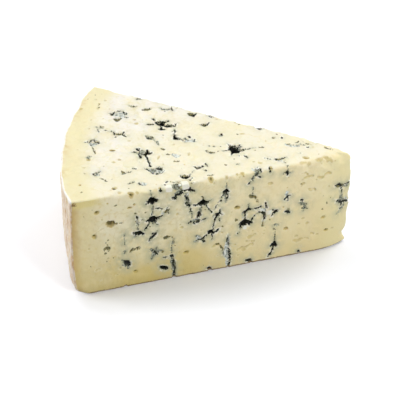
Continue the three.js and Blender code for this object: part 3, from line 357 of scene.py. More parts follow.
TOP_STROKES = (
    (PALE, 0.9, (-93.6, 20.2, 0.9), (-91.4, 20.2, 1.6), (-89.9, 21.2, 1.0), (-89.6, 18.8, 0.8)),
    (DARK, 0.7, (-95.2, 20.9, 0.2), (-94.2, 20.5, 0.32), (-93.2, 21.9, 0.22)),
    (DARK, 0.7, (-92.2, 22.4, 0.18), (-90.6, 22.9, 0.22), (-89.4, 22.4, 0.38), (-88.5, 20.8, 0.25)),
    (DARK, 0.9, (-89.0, 19.3, 0.3), (-88.2, 18.6, 0.42)),
    (OLIVE, 1.0, (-92.4, 17.0, 0.6), (-91.5, 16.5, 0.85), (-90.4, 17.8, 0.35)),
    (DARK, 0.8, (-91.9, 15.9, 0.4), (-92.6, 16.4, 0.35)),
    (GREY, 0.7, (-87.9, 26.9, 0.28), (-86.6, 26.4, 0.4), (-85.2, 26.6, 0.28)),
    (GREY, 0.5, (-85.2, 31.6, 0.3), (-84.0, 31.8, 0.4)),
    (OLIVE, 1.0, (-82.6, 24.3, 0.45), (-81.2, 24.6, 0.85), (-79.8, 24.8, 0.35)),
    (DARK, 0.5, (-81.8, 25.2, 0.18), (-80.4, 25.3, 0.22)),
    (DARK, 0.8, (-77.0, 29.8, 0.55)),
    (GREY, 0.6, (-76.6, 25.8, 0.25), (-75.0, 24.9, 0.4), (-73.2, 24.8, 0.35), (-71.6, 25.6, 0.3)),
    (DARK, 0.6, (-71.5, 28.0, 0.4)),
    (DARK, 0.6, (-71.3, 24.3, 0.3), (-71.9, 26.4, 0.2)),
    (OLIVE, 1.4, (-65.2, 22.7, 0.6), (-63.6, 22.1, 1.15), (-62.9, 20.8, 0.4)),
    (DARK, 1.3, (-64.4, 21.6, 0.4), (-63.2, 22.0, 0.6), (-62.2, 22.6, 0.3)),
    (DARK, 0.7, (-58.0, 22.5, 0.4)),
    (DARK, 0.7, (-57.0, 21.2, 0.35), (-56.2, 20.6, 0.45)),
    (DARK, 2.2, (-76.9, 15.7, 0.5), (-75.0, 15.9, 1.05), (-73.6, 16.6, 0.5), (-72.2, 16.8, 0.25)),
    (GREY, 0.8, (-76.4, 15.0, 0.6), (-74.2, 14.4, 1.0), (-72.6, 13.8, 0.7)),
    (DARK, 0.8, (-78.3, 18.3, 0.35), (-77.4, 17.3, 0.35)),
    (DARK, 1.0, (-79.9, 14.5, 0.4), (-78.0, 14.6, 0.45)),
    (DARK, 1.4, (-73.4, 14.5, 0.4), (-71.4, 14.0, 0.65), (-69.8, 14.0, 0.35), (-69.2, 15.8, 0.22)),
    (DARK, 1.0, (-74.6, 13.2, 0.4), (-74.8, 11.7, 0.6), (-73.6, 11.7, 0.35)),
    (DARK, 0.5, (-69.7, 11.6, 0.25), (-69.3, 9.8, 0.3)),
    (OLIVE, 1.2, (-60.1, 15.2, 0.4), (-58.6, 14.9, 0.9), (-57.2, 15.2, 0.4)),
    (DARK, 0.7, (-59.2, 14.7, 0.4), (-57.9, 15.3, 0.35), (-57.0, 16.6, 0.22)),
    (GREY, 0.5, (-99.0, 11.0, 0.3), (-97.6, 11.3, 0.6), (-96.5, 10.6, 0.35)),
    (OLIVE, 0.5, (-98.0, 12.1, 0.25), (-96.6, 11.8, 0.32)),
    (DARK, 0.5, (-98.6, 9.9, 0.2), (-97.8, 8.6, 0.28)),
    (DARK, 0.5, (-96.0, 9.9, 0.15), (-94.2, 9.2, 0.2), (-92.4, 8.8, 0.25)),
    (DARK, 0.7, (-92.0, 8.3, 0.35), (-91.8, 7.0, 0.28)),
    (OLIVE, 1.1, (-91.0, 7.1, 0.6), (-90.0, 7.1, 0.8)),
    (DARK, 0.7, (-88.3, 8.6, 0.3), (-89.0, 7.4, 0.22), (-88.2, 6.2, 0.3), (-87.2, 5.8, 0.35)),
    (DARK, 0.5, (-91.3, 5.2, 0.3)),
    (PALE, 0.8, (-100.2, 0.6, 0.7), (-98.9, 0.0, 1.2), (-97.7, 0.6, 0.7)),
    (DARK, 0.6, (-102.2, 0.9, 0.18), (-100.6, 1.5, 0.3), (-99.9, 2.2, 0.28)),
    (DARK, 0.6, (-99.2, 3.2, 0.25), (-98.9, 2.0, 0.25)),
    (DARK, 0.6, (-98.6, 1.5, 0.3), (-97.4, 1.9, 0.25), (-96.9, 0.4, 0.22)),
    (DARK, 0.6, (-99.9, -0.4, 0.3), (-99.3, -1.4, 0.35)),
    (OLIVE, 0.3, (-99.2, -2.2, 0.3), (-97.6, -6.2, 0.2)),
    (GREY, 1.0, (-79.9, 6.4, 0.45), (-78.9, 5.6, 0.85), (-77.6, 6.3, 0.4)),
    (DARK, 0.8, (-79.6, 6.1, 0.35), (-78.4, 5.6, 0.35)),
    (GREY, 0.8, (-78.6, 5.0, 0.7), (-77.4, 5.0, 0.5)),
    (GREY, 0.4, (-77.0, 4.4, 0.25), (-75.8, 2.8, 0.22), (-74.7, 1.0, 0.25)),
    (DARK, 1.5, (-69.6, 8.8, 0.3), (-69.3, 7.2, 0.5), (-68.9, 5.7, 0.85), (-67.6, 5.2, 0.4)),
    (GREY, 0.7, (-67.2, 5.2, 0.45), (-65.8, 4.7, 0.5), (-65.2, 5.8, 0.3)),
    (PALE, 0.7, (-64.4, 4.6, 1.0), (-62.6, 4.6, 1.2)),
    (DARK, 0.8, (-63.8, 7.2, 0.5), (-63.4, 6.4, 0.25)),
    (DARK, 0.5, (-66.0, 4.2, 0.3), (-64.9, 3.6, 0.25)),
    (DARK, 0.5, (-61.8, 5.4, 0.3), (-61.6, 4.2, 0.22)),
    (OLIVE, 0.6, (-73.7, -1.9, 0.35), (-72.5, -2.0, 0.4)),
    (DARK, 1.8, (-79.4, -5.2, 0.9), (-78.7, -4.3, 0.9), (-78.8, -2.9, 0.35)),
    (DARK, 0.7, (-78.2, -4.8, 0.5), (-76.7, -4.6, 0.3)),
    (GREY, 0.9, (-83.6, -4.4, 0.35), (-81.8, -4.6, 0.9), (-80.2, -4.8, 1.0), (-80.6, -3.4, 0.6)),
    (DARK, 0.9, (-84.1, -4.6, 0.3), (-83.2, -4.3, 0.3)),
    (DARK, 0.9, (-82.5, -2.2, 0.5), (-81.7, -3.2, 0.35)),
    (DARK, 1.0, (-82.0, -5.0, 0.35), (-81.0, -6.4, 0.5), (-80.9, -7.7, 0.45)),
    (DARK, 0.9, (-79.0, -6.4, 0.45), (-78.3, -8.0, 0.3), (-77.8, -9.8, 0.25), (-77.1, -11.8, 0.4),
     (-76.7, -13.2, 0.45)),
    (PALE, 0.9, (-76.8, -15.4, 0.9), (-75.2, -16.0, 1.3), (-73.4, -15.8, 1.3), (-72.4, -16.3, 0.8)),
    (GREY, 0.9, (-76.9, -15.3, 0.5), (-75.4, -15.4, 0.9)),
    (DARK, 0.7, (-78.4, -14.8, 0.35), (-77.2, -15.6, 0.3), (-76.0, -16.8, 0.35), (-75.2, -18.3, 0.4)),
    (DARK, 0.9, (-74.4, -14.4, 0.3), (-73.3, -14.0, 0.5), (-72.4, -14.8, 0.35)),
    (DARK, 0.7, (-71.5, -15.9, 0.3), (-72.4, -17.2, 0.35), (-74.2, -18.0, 0.25)),
    (DARK, 0.8, (-97.1, -20.2, 0.4), (-96.3, -21.0, 0.35)),
    (GREY, 0.7, (-96.0, -19.6, 0.5), (-94.7, -18.5, 0.3)),
    (PALE, 0.5, (-95.4, -20.7, 0.8)),
    (OLIVE, 0.7, (-94.1, -22.7, 0.3), (-91.9, -24.5, 0.35)),
    (OLIVE, 0.9, (-87.0, -16.8, 0.4), (-86.1, -18.0, 0.8)),
    (GREY, 0.7, (-86.4, -18.8, 0.5), (-84.0, -17.2, 0.35)),
    (DARK, 0.5, (-82.9, -14.9, 0.3), (-82.0, -15.1, 0.3)),
    (PALE, 0.5, (-69.0, -5.0, 0.9), (-67.4, -6.0, 0.9)),
    (OLIVE, 0.6, (-71.2, -5.0, 0.4), (-70.3, -5.0, 0.3)),
    (OLIVE, 0.5, (-66.4, -5.3, 0.35)),
    (OLIVE, 0.6, (-68.3, -9.3, 0.35), (-66.4, -9.2, 0.3)),
    (PALE, 0.4, (-79.6, -24.6, 0.7), (-78.0, -24.4, 0.9)),
    (DARK, 0.4, (-80.0, -24.3, 0.22), (-78.6, -25.0, 0.22)),
    (GREY, 0.5, (-83.6, -25.2, 0.25), (-82.0, -24.0, 0.3)),
    (GREY, 0.5, (-56.0, 1.4, 0.4)),
    (GREY, 0.5, (-54.3, 1.4, 0.35)),
    (GREY, 0.6, (-51.9, 8.7, 0.8)),
    (DARK, 0.4, (-51.7, 9.4, 0.25)),
    (GREY, 0.4, (-45.2, -9.8, 0.45), (-44.3, -9.4, 0.3)),
    (OLIVE, 0.4, (-49.2, -10.6, 0.4)),
    (GREY, 0.6, (-32.4, 8.4, 0.5)),
    (DARK, 0.6, (-29.3, 8.3, 0.45)),
    (OLIVE, 0.4, (-31.2, 10.6, 0.25)),
    (DARK, 0.8, (-39.6, 15.3, 0.3), (-38.7, 14.6, 0.5), (-37.2, 13.2, 0.28)),
    (OLIVE, 0.8, (-27.7, 3.9, 0.35), (-26.5, 4.4, 0.5)),
    (OLIVE, 0.4, (-13.2, 3.1, 0.4), (-12.3, 2.2, 0.25), (-10.2, 2.0, 0.18)),
    (DARK, 0.3, (-22.2, -1.3, 0.25)),
    (DARK, 0.8, (-33.3, -11.6, 0.3), (-32.8, -12.5, 0.45)),
    (PALE, 0.3, (-38.0, -12.1, 0.7)),
    (DARK, 0.5, (-72.0, -27.2, 0.5)),
    (GREY, 0.4, (-99.9, -8.6, 0.8)),
    (DARK, 2.6, (-47.2, 0.5, 1.4), (-46.2, -0.8, 1.5)),
    (DARK, 1.4, (-47.5, 0.9, 0.6), (-48.3, 1.9, 0.3), (-49.4, 3.2, 0.15)),
    (DARK, 1.4, (-46.0, 1.0, 0.5), (-44.9, 2.5, 0.2)),
    (DARK, 1.4, (-45.6, -0.6, 0.5), (-44.2, -0.7, 0.5), (-42.9, -0.5, 0.3)),
    (DARK, 1.2, (-47.0, -1.6, 0.6), (-47.4, -2.9, 0.35), (-47.6, -4.1, 0.15)),
    (DARK, 0.8, (-48.0, -0.5, 0.4), (-49.4, -1.1, 0.25), (-50.9, -1.4, 0.12)),
    (DARK, 0.9, (-45.8, -1.2, 0.5), (-44.9, -2.4, 0.25)),
    (GREY, 0.5, (-45.4, 0.6, 0.5), (-44.2, 1.4, 0.3)),
    (GREY, 0.4, (-46.0, -2.4, 0.4)),
    (GREY, 0.15, (-42.9, -0.5, 0.12), (-38.5, 1.0, 0.1)),
    (OLIVE, 0.5, (-37.4, 1.4, 0.22), (-36.2, 1.6, 0.32)),
    (DARK, 0.4, (-44.7, -4.2, 0.25)),
    (DARK, 0.6, (-42.5, -4.2, 0.28), (-41.4, -5.6, 0.22)),
    (OLIVE, 1.0, (-56.8, -2.1, 0.3), (-55.4, -2.8, 0.7), (-53.6, -3.0, 0.25)),
    (DARK, 0.4, (-56.6, -2.7, 0.18), (-54.9, -3.4, 0.18)),
    (PALE, 0.4, (-28.2, 4.1, 0.35), (-25.6, 3.2, 0.6), (-23.0, 3.6, 0.7)),
    (OLIVE, 0.5, (-26.7, 4.3, 0.3)),
    (OLIVE, 0.6, (-24.1, 5.4, 0.3), (-23.0, 6.0, 0.25)),
    (OLIVE, 0.5, (-21.4, 6.1, 0.3)),
    (OLIVE, 0.7, (-20.1, 5.1, 0.38), (-19.2, 4.8, 0.25)),
    (DARK, 0.5, (-18.4, 4.5, 0.25)),
    (DARK, 0.7, (-19.5, 2.4, 0.38)),
    (DARK, 0.4, (-16.5, 6.2, 0.28)),
    (GREY, 0.4, (-22.2, 4.6, 0.4), (-20.8, 3.8, 0.3)),
    (DARK, 0.4, (-35.2, -5.6, 0.22)),
    (DARK, 0.6, (-34.0, -5.8, 0.32), (-32.8, -6.1, 0.22)),
    (OLIVE, 0.9, (-31.1, -5.9, 0.45), (-29.6, -5.6, 0.6), (-28.6, -5.2, 0.35)),
    (DARK, 0.7, (-31.3, -5.5, 0.25), (-30.9, -6.5, 0.28)),
    (DARK, 0.7, (-28.8, -5.0, 0.28), (-27.3, -4.3, 0.22)),
    (DARK, 0.5, (-28.0, -7.6, 0.28)),
    (PALE, 0.4, (-30.0, -6.9, 0.5), (-28.6, -6.6, 0.45)),
    (DARK, 1.2, (-60.6, -12.3, 0.25), (-59.9, -12.8, 0.5), (-58.9, -13.1, 0.4)),
    (OLIVE, 0.9, (-59.6, -13.7, 0.45), (-58.6, -13.2, 0.35)),
    (GREY, 0.5, (-58.4, -12.8, 0.35), (-57.3, -12.4, 0.3)),
    (DARK, 0.6, (-57.8, -12.2, 0.25), (-57.1, -12.5, 0.18)),
    (DARK, 0.6, (-56.8, -10.6, 0.25), (-56.2, -11.6, 0.22)),
    (DARK, 0.5, (-56.1, -12.3, 0.25)),
    (DARK, 0.6, (-56.4, -14.9, 0.4)),
    (PALE, 0.4, (-57.3, -13.7, 0.5)),
    (OLIVE, 0.6, (-55.7, -18.0, 0.25), (-54.6, -17.7, 0.3), (-53.5, -17.3, 0.2)),
    (DARK, 0.5, (-37.8, -11.6, 0.35)),
    (PALE, 0.4, (-39.4, -12.9, 0.6), (-38.2, -13.3, 0.5)),
    (DARK, 2.0, (-65.0, -18.5, 0.35), (-64.3, -19.4, 0.6), (-63.4, -19.5, 0.8), (-62.5, -18.9, 0.5),
     (-62.0, -18.0, 0.2)),
    (OLIVE, 1.2, (-64.2, -18.2, 0.45), (-63.2, -18.4, 0.55)),
    (GREY, 0.4, (-61.8, -17.5, 0.25), (-61.4, -16.4, 0.22), (-60.7, -15.0, 0.15)),
    (GREY, 0.3, (-67.4, -23.0, 0.22), (-66.2, -22.8, 0.22), (-65.4, -22.3, 0.22)),
    (DARK, 0.4, (-70.3, -23.2, 0.28), (-69.8, -22.6, 0.2)),
    (OLIVE, 0.4, (-68.6, -22.7, 0.22), (-67.8, -22.8, 0.18)),
    (DARK, 0.4, (-70.8, -24.6, 0.25)),
    (DARK, 0.7, (-61.7, -20.7, 0.25), (-61.0, -19.4, 0.2)),
    (OLIVE, 0.6, (-61.1, -22.2, 0.3), (-60.9, -23.4, 0.3)),
    (OLIVE, 0.7, (-65.8, -22.4, 0.28), (-65.4, -23.6, 0.25)),
    (OLIVE, 0.6, (-67.0, -24.0, 0.28), (-66.7, -25.0, 0.3)),
)

# ---- Gas holes and chips: u, v, half width, half height, depth, and how dark the hollow is, from stain and painted shade ----
FRONT_EYES = (
    (14.0, 29.9, 1.7, 1.6, 2.2, 0.9),
    (9.0, 36.0, 1.1, 0.8, 0.7, 0.6),
    (7.8, 25.6, 0.9, 1.0, 0.9, 0.6),
    (5.6, 20.5, 0.45, 0.3, 0.4, 0.5),
    (21.4, 35.5, 0.95, 0.5, 0.6, 0.6),
    (23.1, 36.6, 0.6, 0.5, 0.5, 0.6),
    (23.0, 6.3, 0.9, 0.7, 0.8, 0.7),
    (25.0, 33.2, 0.6, 0.4, 0.4, 0.5),
    (42.5, 10.9, 1.2, 0.8, 1.0, 0.6),
    (17.0, 9.3, 0.5, 0.4, 0.4, 0.4),
    (16.0, 6.5, 0.5, 0.3, 0.3, 0.3),
    (40.8, 22.7, 0.8, 0.5, 0.4, 0.5),
    (40.2, 24.0, 0.4, 0.3, 0.3, 0.4),
    (39.3, 29.0, 0.6, 0.5, 0.4, 0.5),
    (62.2, 26.8, 1.3, 0.8, 1.3, 0.9),
    (81.3, 13.2, 0.9, 0.7, 0.8, 0.7),
    (96.2, 15.3, 1.0, 0.7, 0.8, 0.6),
    (88.2, 16.3, 0.9, 0.35, 0.5, 0.5),
    (86.5, 14.2, 0.7, 0.35, 0.5, 0.4),
    (90.0, 13.8, 0.8, 0.7, 0.4, 0.3),
    (85.6, 8.6, 0.9, 0.45, 0.5, 0.4),
    (87.6, 7.0, 0.9, 0.4, 0.5, 0.5),
    (97.6, 8.9, 1.1, 0.6, 0.7, 0.6),
    (100.1, 9.2, 0.7, 0.4, 0.4, 0.4),
    (94.0, 7.8, 0.8, 0.3, 0.4, 0.3),
    (67.2, 12.0, 1.0, 0.8, 0.5, 0.3),
    (65.0, 6.8, 0.8, 0.6, 0.5, 0.3),
    (68.4, 8.6, 0.6, 0.6, 0.4, 0.3),
    (75.0, 35.2, 1.1, 0.7, 0.5, 0.4),
    (98.0, 29.0, 0.6, 0.4, 0.3, 0.3),
    (52.4, 41.0, 1.1, 1.0, 1.1, 0.9),
    (58.0, 41.2, 0.6, 0.8, 0.6, 0.5),
    (62.4, 41.3, 0.5, 0.5, 0.7, 0.9),
    (64.2, 41.3, 0.8, 0.6, 0.8, 1.0),
    (75.4, 41.2, 0.6, 0.6, 0.7, 0.9),
    (33.0, 41.3, 0.6, 0.6, 0.6, 0.7),
    (48.2, 19.6, 0.3, 0.3, 0.3, 0.5),
    (56.4, 16.8, 0.6, 0.3, 0.4, 0.5),
    (61.5, 10.0, 0.6, 0.4, 0.4, 0.3),
)
TOP_EYES = (
    (-88.6, -29.0, 1.1, 0.9, 0.9, 0.7),
    (-86.5, -31.4, 0.8, 0.5, 0.5, 0.4),
    (-82.5, -31.0, 1.2, 0.8, 1.0, 0.8),
    (-80.2, -29.8, 0.7, 0.4, 0.5, 0.5),
    (-91.5, -3.6, 1.3, 0.7, 0.6, 0.6),
    (-100.8, -16.0, 0.6, 0.45, 0.5, 0.8),
    (-101.0, -28.0, 0.45, 0.4, 0.4, 0.8),
    (-104.5, -3.8, 0.35, 0.25, 0.3, 0.5),
    (-99.5, 24.0, 0.5, 0.4, 0.4, 0.6),
    (-99.4, 27.4, 0.4, 0.5, 0.4, 0.6),
    (-97.4, 29.8, 0.5, 0.35, 0.3, 0.5),
    (-101.0, 30.2, 0.5, 0.3, 0.3, 0.5),
    (-106.3, 23.8, 1.0, 0.35, 0.4, 0.6),
    (-99.7, -10.3, 0.8, 0.9, 0.5, 0.4),
    (-90.6, -11.5, 0.8, 0.6, 0.4, 0.4),
    (-88.5, -10.0, 0.6, 0.4, 0.3, 0.3),
    (-85.2, 17.2, 0.7, 0.35, 0.5, 0.6),
    (-84.2, 14.6, 0.9, 0.8, 0.4, 0.4),
    (-63.2, -4.4, 0.5, 1.3, 0.4, 0.5),
    (-74.2, -7.2, 0.5, 1.3, 0.4, 0.3),
    (-85.8, 3.0, 0.8, 0.5, 0.3, 0.3),
    (-20.2, -4.0, 1.4, 0.7, 0.9, 0.4),
    (-18.9, -6.6, 0.8, 1.0, 0.9, 0.4),
    (-15.8, -4.9, 0.9, 0.6, 0.9, 0.4),
    (-12.4, -2.9, 1.6, 0.8, 1.2, 0.4),
    (-46.8, 17.6, 0.8, 0.4, 0.3, 0.3),
    (-44.0, 10.2, 1.2, 0.5, 0.3, 0.2),
    (-30.0, 11.4, 0.4, 0.3, 0.3, 0.5),
    (-43.7, -16.9, 0.6, 0.5, 0.7, 1.0),
    (-42.5, -16.2, 0.45, 0.4, 0.6, 1.0),
    (-39.0, -0.8, 0.4, 0.3, 0.3, 0.6),
    (-39.2, -8.0, 0.5, 0.3, 0.3, 0.4),
    (-36.8, -8.6, 0.8, 0.5, 0.3, 0.3),
    (-35.2, 6.2, 0.3, 0.8, 0.3, 0.2),
)
# Crumbs of paste left standing in hollows: u, v, radius.
FRONT_CRUMBS = (
    (42.6, 40.5, 1.35),
    (36.2, 40.6, 1.05),
    (40.4, 41.6, 0.45),
    (65.3, 17.2, 0.7),
    (74.6, 22.2, 1.1),
)
# How deep a crumb's centre lies, as a share of its radius, and how far below the faces it is cut off.
CRUMB_DEPTH, CRUMB_INSET = 0.8, 0.1
# Where the bruise is on the front: distance from the rind corner, height.
BRUISE_AT = (0.6, 41.3)
# Where the edge of the top and the front is rubbed down: distance from the rind corner, reach, depth.
EDGE_WEAR = (
    (21.0, 4.0, 0.7),
    (33.0, 3.0, 0.9),
    (44.4, 3.2, 1.9),
    (52.0, 3.0, 0.8),
    (61.0, 4.0, 0.4),
    (79.0, 5.0, 0.4),
    (88.0, 5.0, 1.0),
    (97.0, 6.0, 1.5),
)
# The needle lines on the back cut: distance from the rind corner. Then its marks away from them.
BACK_NEEDLES = (18.0, 27.5, 36.0, 46.0, 55.5, 65.0, 74.5, 84.0)
LOOSE_MARKS = 60
# Each face's rows, and the first of their seeds.
FACE_ROWS = (
    ("front", FRONT_STROKES, FRONT_EYES, 100),
    ("top", TOP_STROKES, TOP_EYES, 130),
    ("nose", NOSE_STROKES, (), 160),
)
# Where pinholes are strewn: face, lowest and highest position, and how many.
PINHOLES = (
    ("front", (3, 2), (104, 40), 70),
    ("top", (-106, -35), (-8, 35), 110),
)


# ---- Noise ----
NOISE_SIZE = 32


def noise(points, size, seed):
    """Smooth random values from -1 to 1 at points in millimetres, with bumps about `size` across."""
    table = np.random.default_rng(seed).uniform(-1, 1, NOISE_SIZE**3).astype(np.float32)
    scaled = points / np.asarray(size, np.float32)
    cell = np.floor(scaled).astype(np.int32)
    part = (scaled - cell).astype(np.float32)
    part = part * part * (3 - 2 * part)
    value = np.zeros(points.shape[:-1], np.float32)
    for corner in range(8):
        step = ((corner >> 2) & 1, (corner >> 1) & 1, corner & 1)
        weight = np.ones(points.shape[:-1], np.float32)
        index = np.zeros(points.shape[:-1], np.int32)
        for axis in range(3):
            share = part[..., axis]
            weight *= share if step[axis] else 1 - share
            index = index * NOISE_SIZE + (cell[..., axis] + step[axis]) % NOISE_SIZE
        value += weight * table[index]
    return value


def smooth(t):
    t = np.clip(t, 0, 1)
    return t * t * (3 - 2 * t)


def soft_max(a, b, width):
    """The larger of two fields, with the edge where they meet rounded over `width`."""
    near = np.maximum(width - np.abs(a - b), 0)
    return np.maximum(a, b) + near * near / (4 * width)


def uneven(x, y, z):
    """The slow unevenness of the paste, the same as in the solid."""
    a = np.sin(0.31 * x + 1.7 * np.sin(0.17 * y + 0.5) + 0.9)
    b = np.sin(0.27 * y + 1.3 * np.sin(0.21 * z + 2.1) + 0.23 * x)
    c = np.sin(0.43 * z + 1.1 * np.sin(0.19 * x + 0.7) + 2.3)
    return (a + b + c) / 3


# ---- The plain wedge as a field ----
def rind_radius(angle, z):
    share = np.clip(z / HEIGHT, 0, 1)
    swell = RIND_BULGE * np.sin(np.pi * share) + share * (0.55 - 0.35 * np.sin(9 * angle + 0.9))
    crush = CORNER_CRUSH * smooth((angle - HALF + CORNER_REACH) / CORNER_REACH)
    crush = crush + RIND_TAPER * smooth((1 - share) * 3) * (1 - 0.7 * (angle / HALF) ** 2)
    fold = np.sin(38 * angle + 1.2 * np.sin(z / 7)) * np.sin(17 * angle + 0.6)
    return WHEEL_RADIUS + swell - crush + RIND_CREASE * fold * smooth(z / BASE_ROUND)


def top_height(x, y):
    """The height of the cut top, which stands up a little at the front rind corner."""
    off = np.hypot(x + WHEEL_RADIUS * COS, y + WHEEL_RADIUS * SIN)
    return HEIGHT + CORNER_LIFT * smooth((LIFT_REACH - off) / LIFT_FALL)


NOSE_START = np.array([-NOSE_FRONT * COS, -NOSE_FRONT * SIN])
NOSE_END = np.array([-NOSE_BACK * COS, NOSE_BACK * SIN])
NOSE_WIDTH = np.linalg.norm(NOSE_END - NOSE_START)
NOSE_RUN = (NOSE_END - NOSE_START) / NOSE_WIDTH


def nose_field(x, y, z):
    """Distance beyond the broken end of the wedge, which is broken less deep towards the back."""
    off_x, off_y = x - NOSE_START[0], y - NOSE_START[1]
    share = np.clip((off_x * NOSE_RUN[0] + off_y * NOSE_RUN[1]) / NOSE_WIDTH, 0, 1)
    share = np.where(z < 2, 0.8, 0.15 + 0.85 * share)
    heights, depths = zip(*NOSE_BREAKS)
    broken = share * np.interp(z, heights, depths)
    return off_x * NOSE_RUN[1] - off_y * NOSE_RUN[0] + broken


def edge_wear(x, y):
    """Extra rounding of the edge between the top and the front."""
    along = WHEEL_RADIUS - np.hypot(x, y)
    wear = np.zeros_like(x)
    for at, reach, depth in EDGE_WEAR:
        wear += depth * np.exp(-(((along - at) / reach) ** 2))
    return wear


def plain_field(x, y, z):
    front = x * SIN - y * COS
    angle = np.arctan2(y, -x)
    rind = np.hypot(x, y) - rind_radius(angle, z)
    back = x * SIN + y * COS - 0.35 * smooth((HEIGHT - z) / -20 + 1) * smooth(np.hypot(x, y) / 30)
    relief = PASTE_RELIEF * uneven(x, y, z)
    calm = smooth(z / BASE_ROUND) * smooth((HEIGHT - z) / 3)
    field = soft_max(front - relief * calm, nose_field(x, y, z), 3.0)
    field = soft_max(field, back - relief * calm, 0.5)
    field = soft_max(field, rind, 0.7)
    ragged = 1 + 0.8 * uneven(3 * x, 3 * y, 3 * z)
    from_tip = np.hypot(x, y)
    sharp = 0.4 + 0.6 * smooth((WHEEL_RADIUS - from_tip - 4) / 12)
    top_width = (1.3 + 1.9 * edge_wear(x, y)) * ragged * sharp
    top_width = np.where(front > np.maximum(back, rind), top_width, 0.45)
    top_width += 0.6 * smooth(1 - from_tip / 34) + 3.0 * smooth(1.15 - from_tip / 12)
    lumps = 0.32 * uneven(5 * x, 5 * y, 0 * z) * smooth(1 + back / 4)
    field = soft_max(field, z - top_height(x, y) - relief - lumps, np.clip(top_width, 0.4, 7))
    base_width = 0.35 + 4.75 * smooth(1 + rind / 6)
    return soft_max(field, BASE_LIFT - z, base_width)


# ---- Faces, with a position on each and a depth below it ----
def front_local(p):
    x, y, z = p[..., 0], p[..., 1], p[..., 2]
    along = WHEEL_RADIUS + x * COS + y * SIN
    return np.stack([along, z, y * COS - x * SIN], -1)


def back_local(p):
    x, y, z = p[..., 0], p[..., 1], p[..., 2]
    along = WHEEL_RADIUS + x * COS - y * SIN
    return np.stack([along, z, -y * COS - x * SIN], -1)


def top_local(p):
    return np.stack([p[..., 0], p[..., 1], top_height(p[..., 0], p[..., 1]) - p[..., 2]], -1)


def nose_local(p):
    x, y, z = p[..., 0], p[..., 1], p[..., 2]
    along = (x - NOSE_START[0]) * NOSE_RUN[0] + (y - NOSE_START[1]) * NOSE_RUN[1]
    return np.stack([along, z, -nose_field(x, y, z)], -1)


def front_world(u, v, depth=0.0):
    reach = WHEEL_RADIUS - u
    return np.array([-reach * COS - depth * SIN, -reach * SIN + depth * COS, v])


def back_world(u, v):
    reach = WHEEL_RADIUS - u
    return np.array([-reach * COS, reach * SIN, v])


def top_world(u, v):
    return np.array([u, v, top_height(u, v)])


def nose_world(u, v):
    x, y = NOSE_START + u * NOSE_RUN
    return np.array([x, y, v])


FACES = {
    "front": (front_local, front_world),
    "back": (back_local, back_world),
    "top": (top_local, top_world),
    "nose": (nose_local, nose_world),
}
# How ragged the outline of each kind is.
RAGGED = {DARK: 0.34, GREY: 0.42, PALE: 0.4, OLIVE: 0.3, EYE: 0.36, CHIP: 0.4}


class Hollow:
    """A stroke or a hole on one face: a chain of points with half widths, and a depth."""

    def __init__(self, face, kind, depth, points, flat=1.0, seed=0):
        self.face, self.kind, self.depth, self.seed = face, kind, depth, seed
        self.flat = flat
        self.points = np.array(points, np.float32)
        if kind == DARK and self.points[:, 2].max() >= WIDE_CORE:
            self.points[:, 2] *= CORE_SWELL
        world = FACES[face][1]
        self.centres = np.array([world(u, v) for u, v, _ in points])
        self.reach = float(self.points[:, 2].max())

    def box(self, margin):
        spread = max(self.reach, self.depth) + margin
        return self.centres.min(0) - spread, self.centres.max(0) + spread

    def distance(self, p, flat=False):
        """Distance from the hollow's ragged wall, in millimetres, negative inside the hollow.

        With `flat`, it is the distance from the outline of its mouth instead, at any depth.
        """
        local = FACES[self.face][0](p).astype(np.float32)
        rise = np.zeros_like(local[..., 2])
        if self.face in ("front", "back"):
            rise = 0.45 * np.maximum(local[..., 2], 0) / self.flat
        local[..., 1] /= self.flat
        chain = self.points.copy()
        chain[:, 1] /= self.flat
        best = np.full(p.shape[:-1], 1e3, np.float32)
        for i in range(max(1, len(chain) - 1)):
            link = chain[i], chain[min(i + 1, len(chain) - 1)]
            best = np.minimum(best, self.link_distance(local, *link, rise, flat))
        ragged = RAGGED[self.kind] * min(1.0, 0.35 + self.reach)
        rough = 0.65 * noise(p, 1.15, self.seed)
        if not flat:
            rough += 0.4 * noise(p, 0.5, self.seed + 1)
        return best + ragged * rough

    def link_distance(self, local, a, b, rise, flat):
        """Distance from the smooth wall of one link of the chain, from point a to point b."""
        run = b[:2] - a[:2]
        length = float(run @ run) + 1e-6
        t = ((local[..., 0] - a[0]) * run[0] + (local[..., 1] - a[1]) * run[1]) / length
        t = np.clip(t, 0, 1)
        width = a[2] + t * (b[2] - a[2])
        off_u = local[..., 0] - a[0] - t * run[0]
        off_v = local[..., 1] - a[1] - t * run[1]
        if flat:
            off_v = np.maximum(off_v - rise, 0) + np.minimum(off_v, 0)
            off_w = np.maximum(local[..., 2] - self.depth - 0.4, 0) + np.maximum(-local[..., 2] - 1, 0)
        else:
            off_v = off_v - rise
            deep = max(self.depth, 0.25) * (0.25 + 0.75 * width / self.reach)
            off_w = np.where(local[..., 2] < 0, local[..., 2] * 0.6, local[..., 2] * width / deep)
        return np.sqrt(off_u**2 + off_v**2 + off_w**2) - width


def hollows_from(face, strokes, eyes, first_seed):
    """The hollows of one face's rows. A row's seed follows from its place in the rows."""
    made = []
    for i, (kind, depth, *points) in enumerate(strokes):
        if face == "top" and kind == OLIVE:
            depth *= FLAT_OLIVE
        made.append(Hollow(face, kind, depth, points, seed=first_seed + i % 7))
    for i, (u, v, wide, high, depth, stain) in enumerate(eyes):
        kind = EYE if stain >= EYE_FROM_DARKNESS else CHIP
        made.append(Hollow(face, kind, depth, [(u, v, wide)], high / wide, seed=first_seed + 20 + i % 5))
        if kind == EYE:
            # The brow is a dark olive crescent at the top of the eye: painted shade under the hole's upper
            # lip.
            shaded_brow = (u, v + 0.3 * high, 0.5 * wide)
            made.append(Hollow(face, OLIVE, 0.5 * depth, [shaded_brow], 0.6 * high / wide, seed=first_seed + 30))
    return made


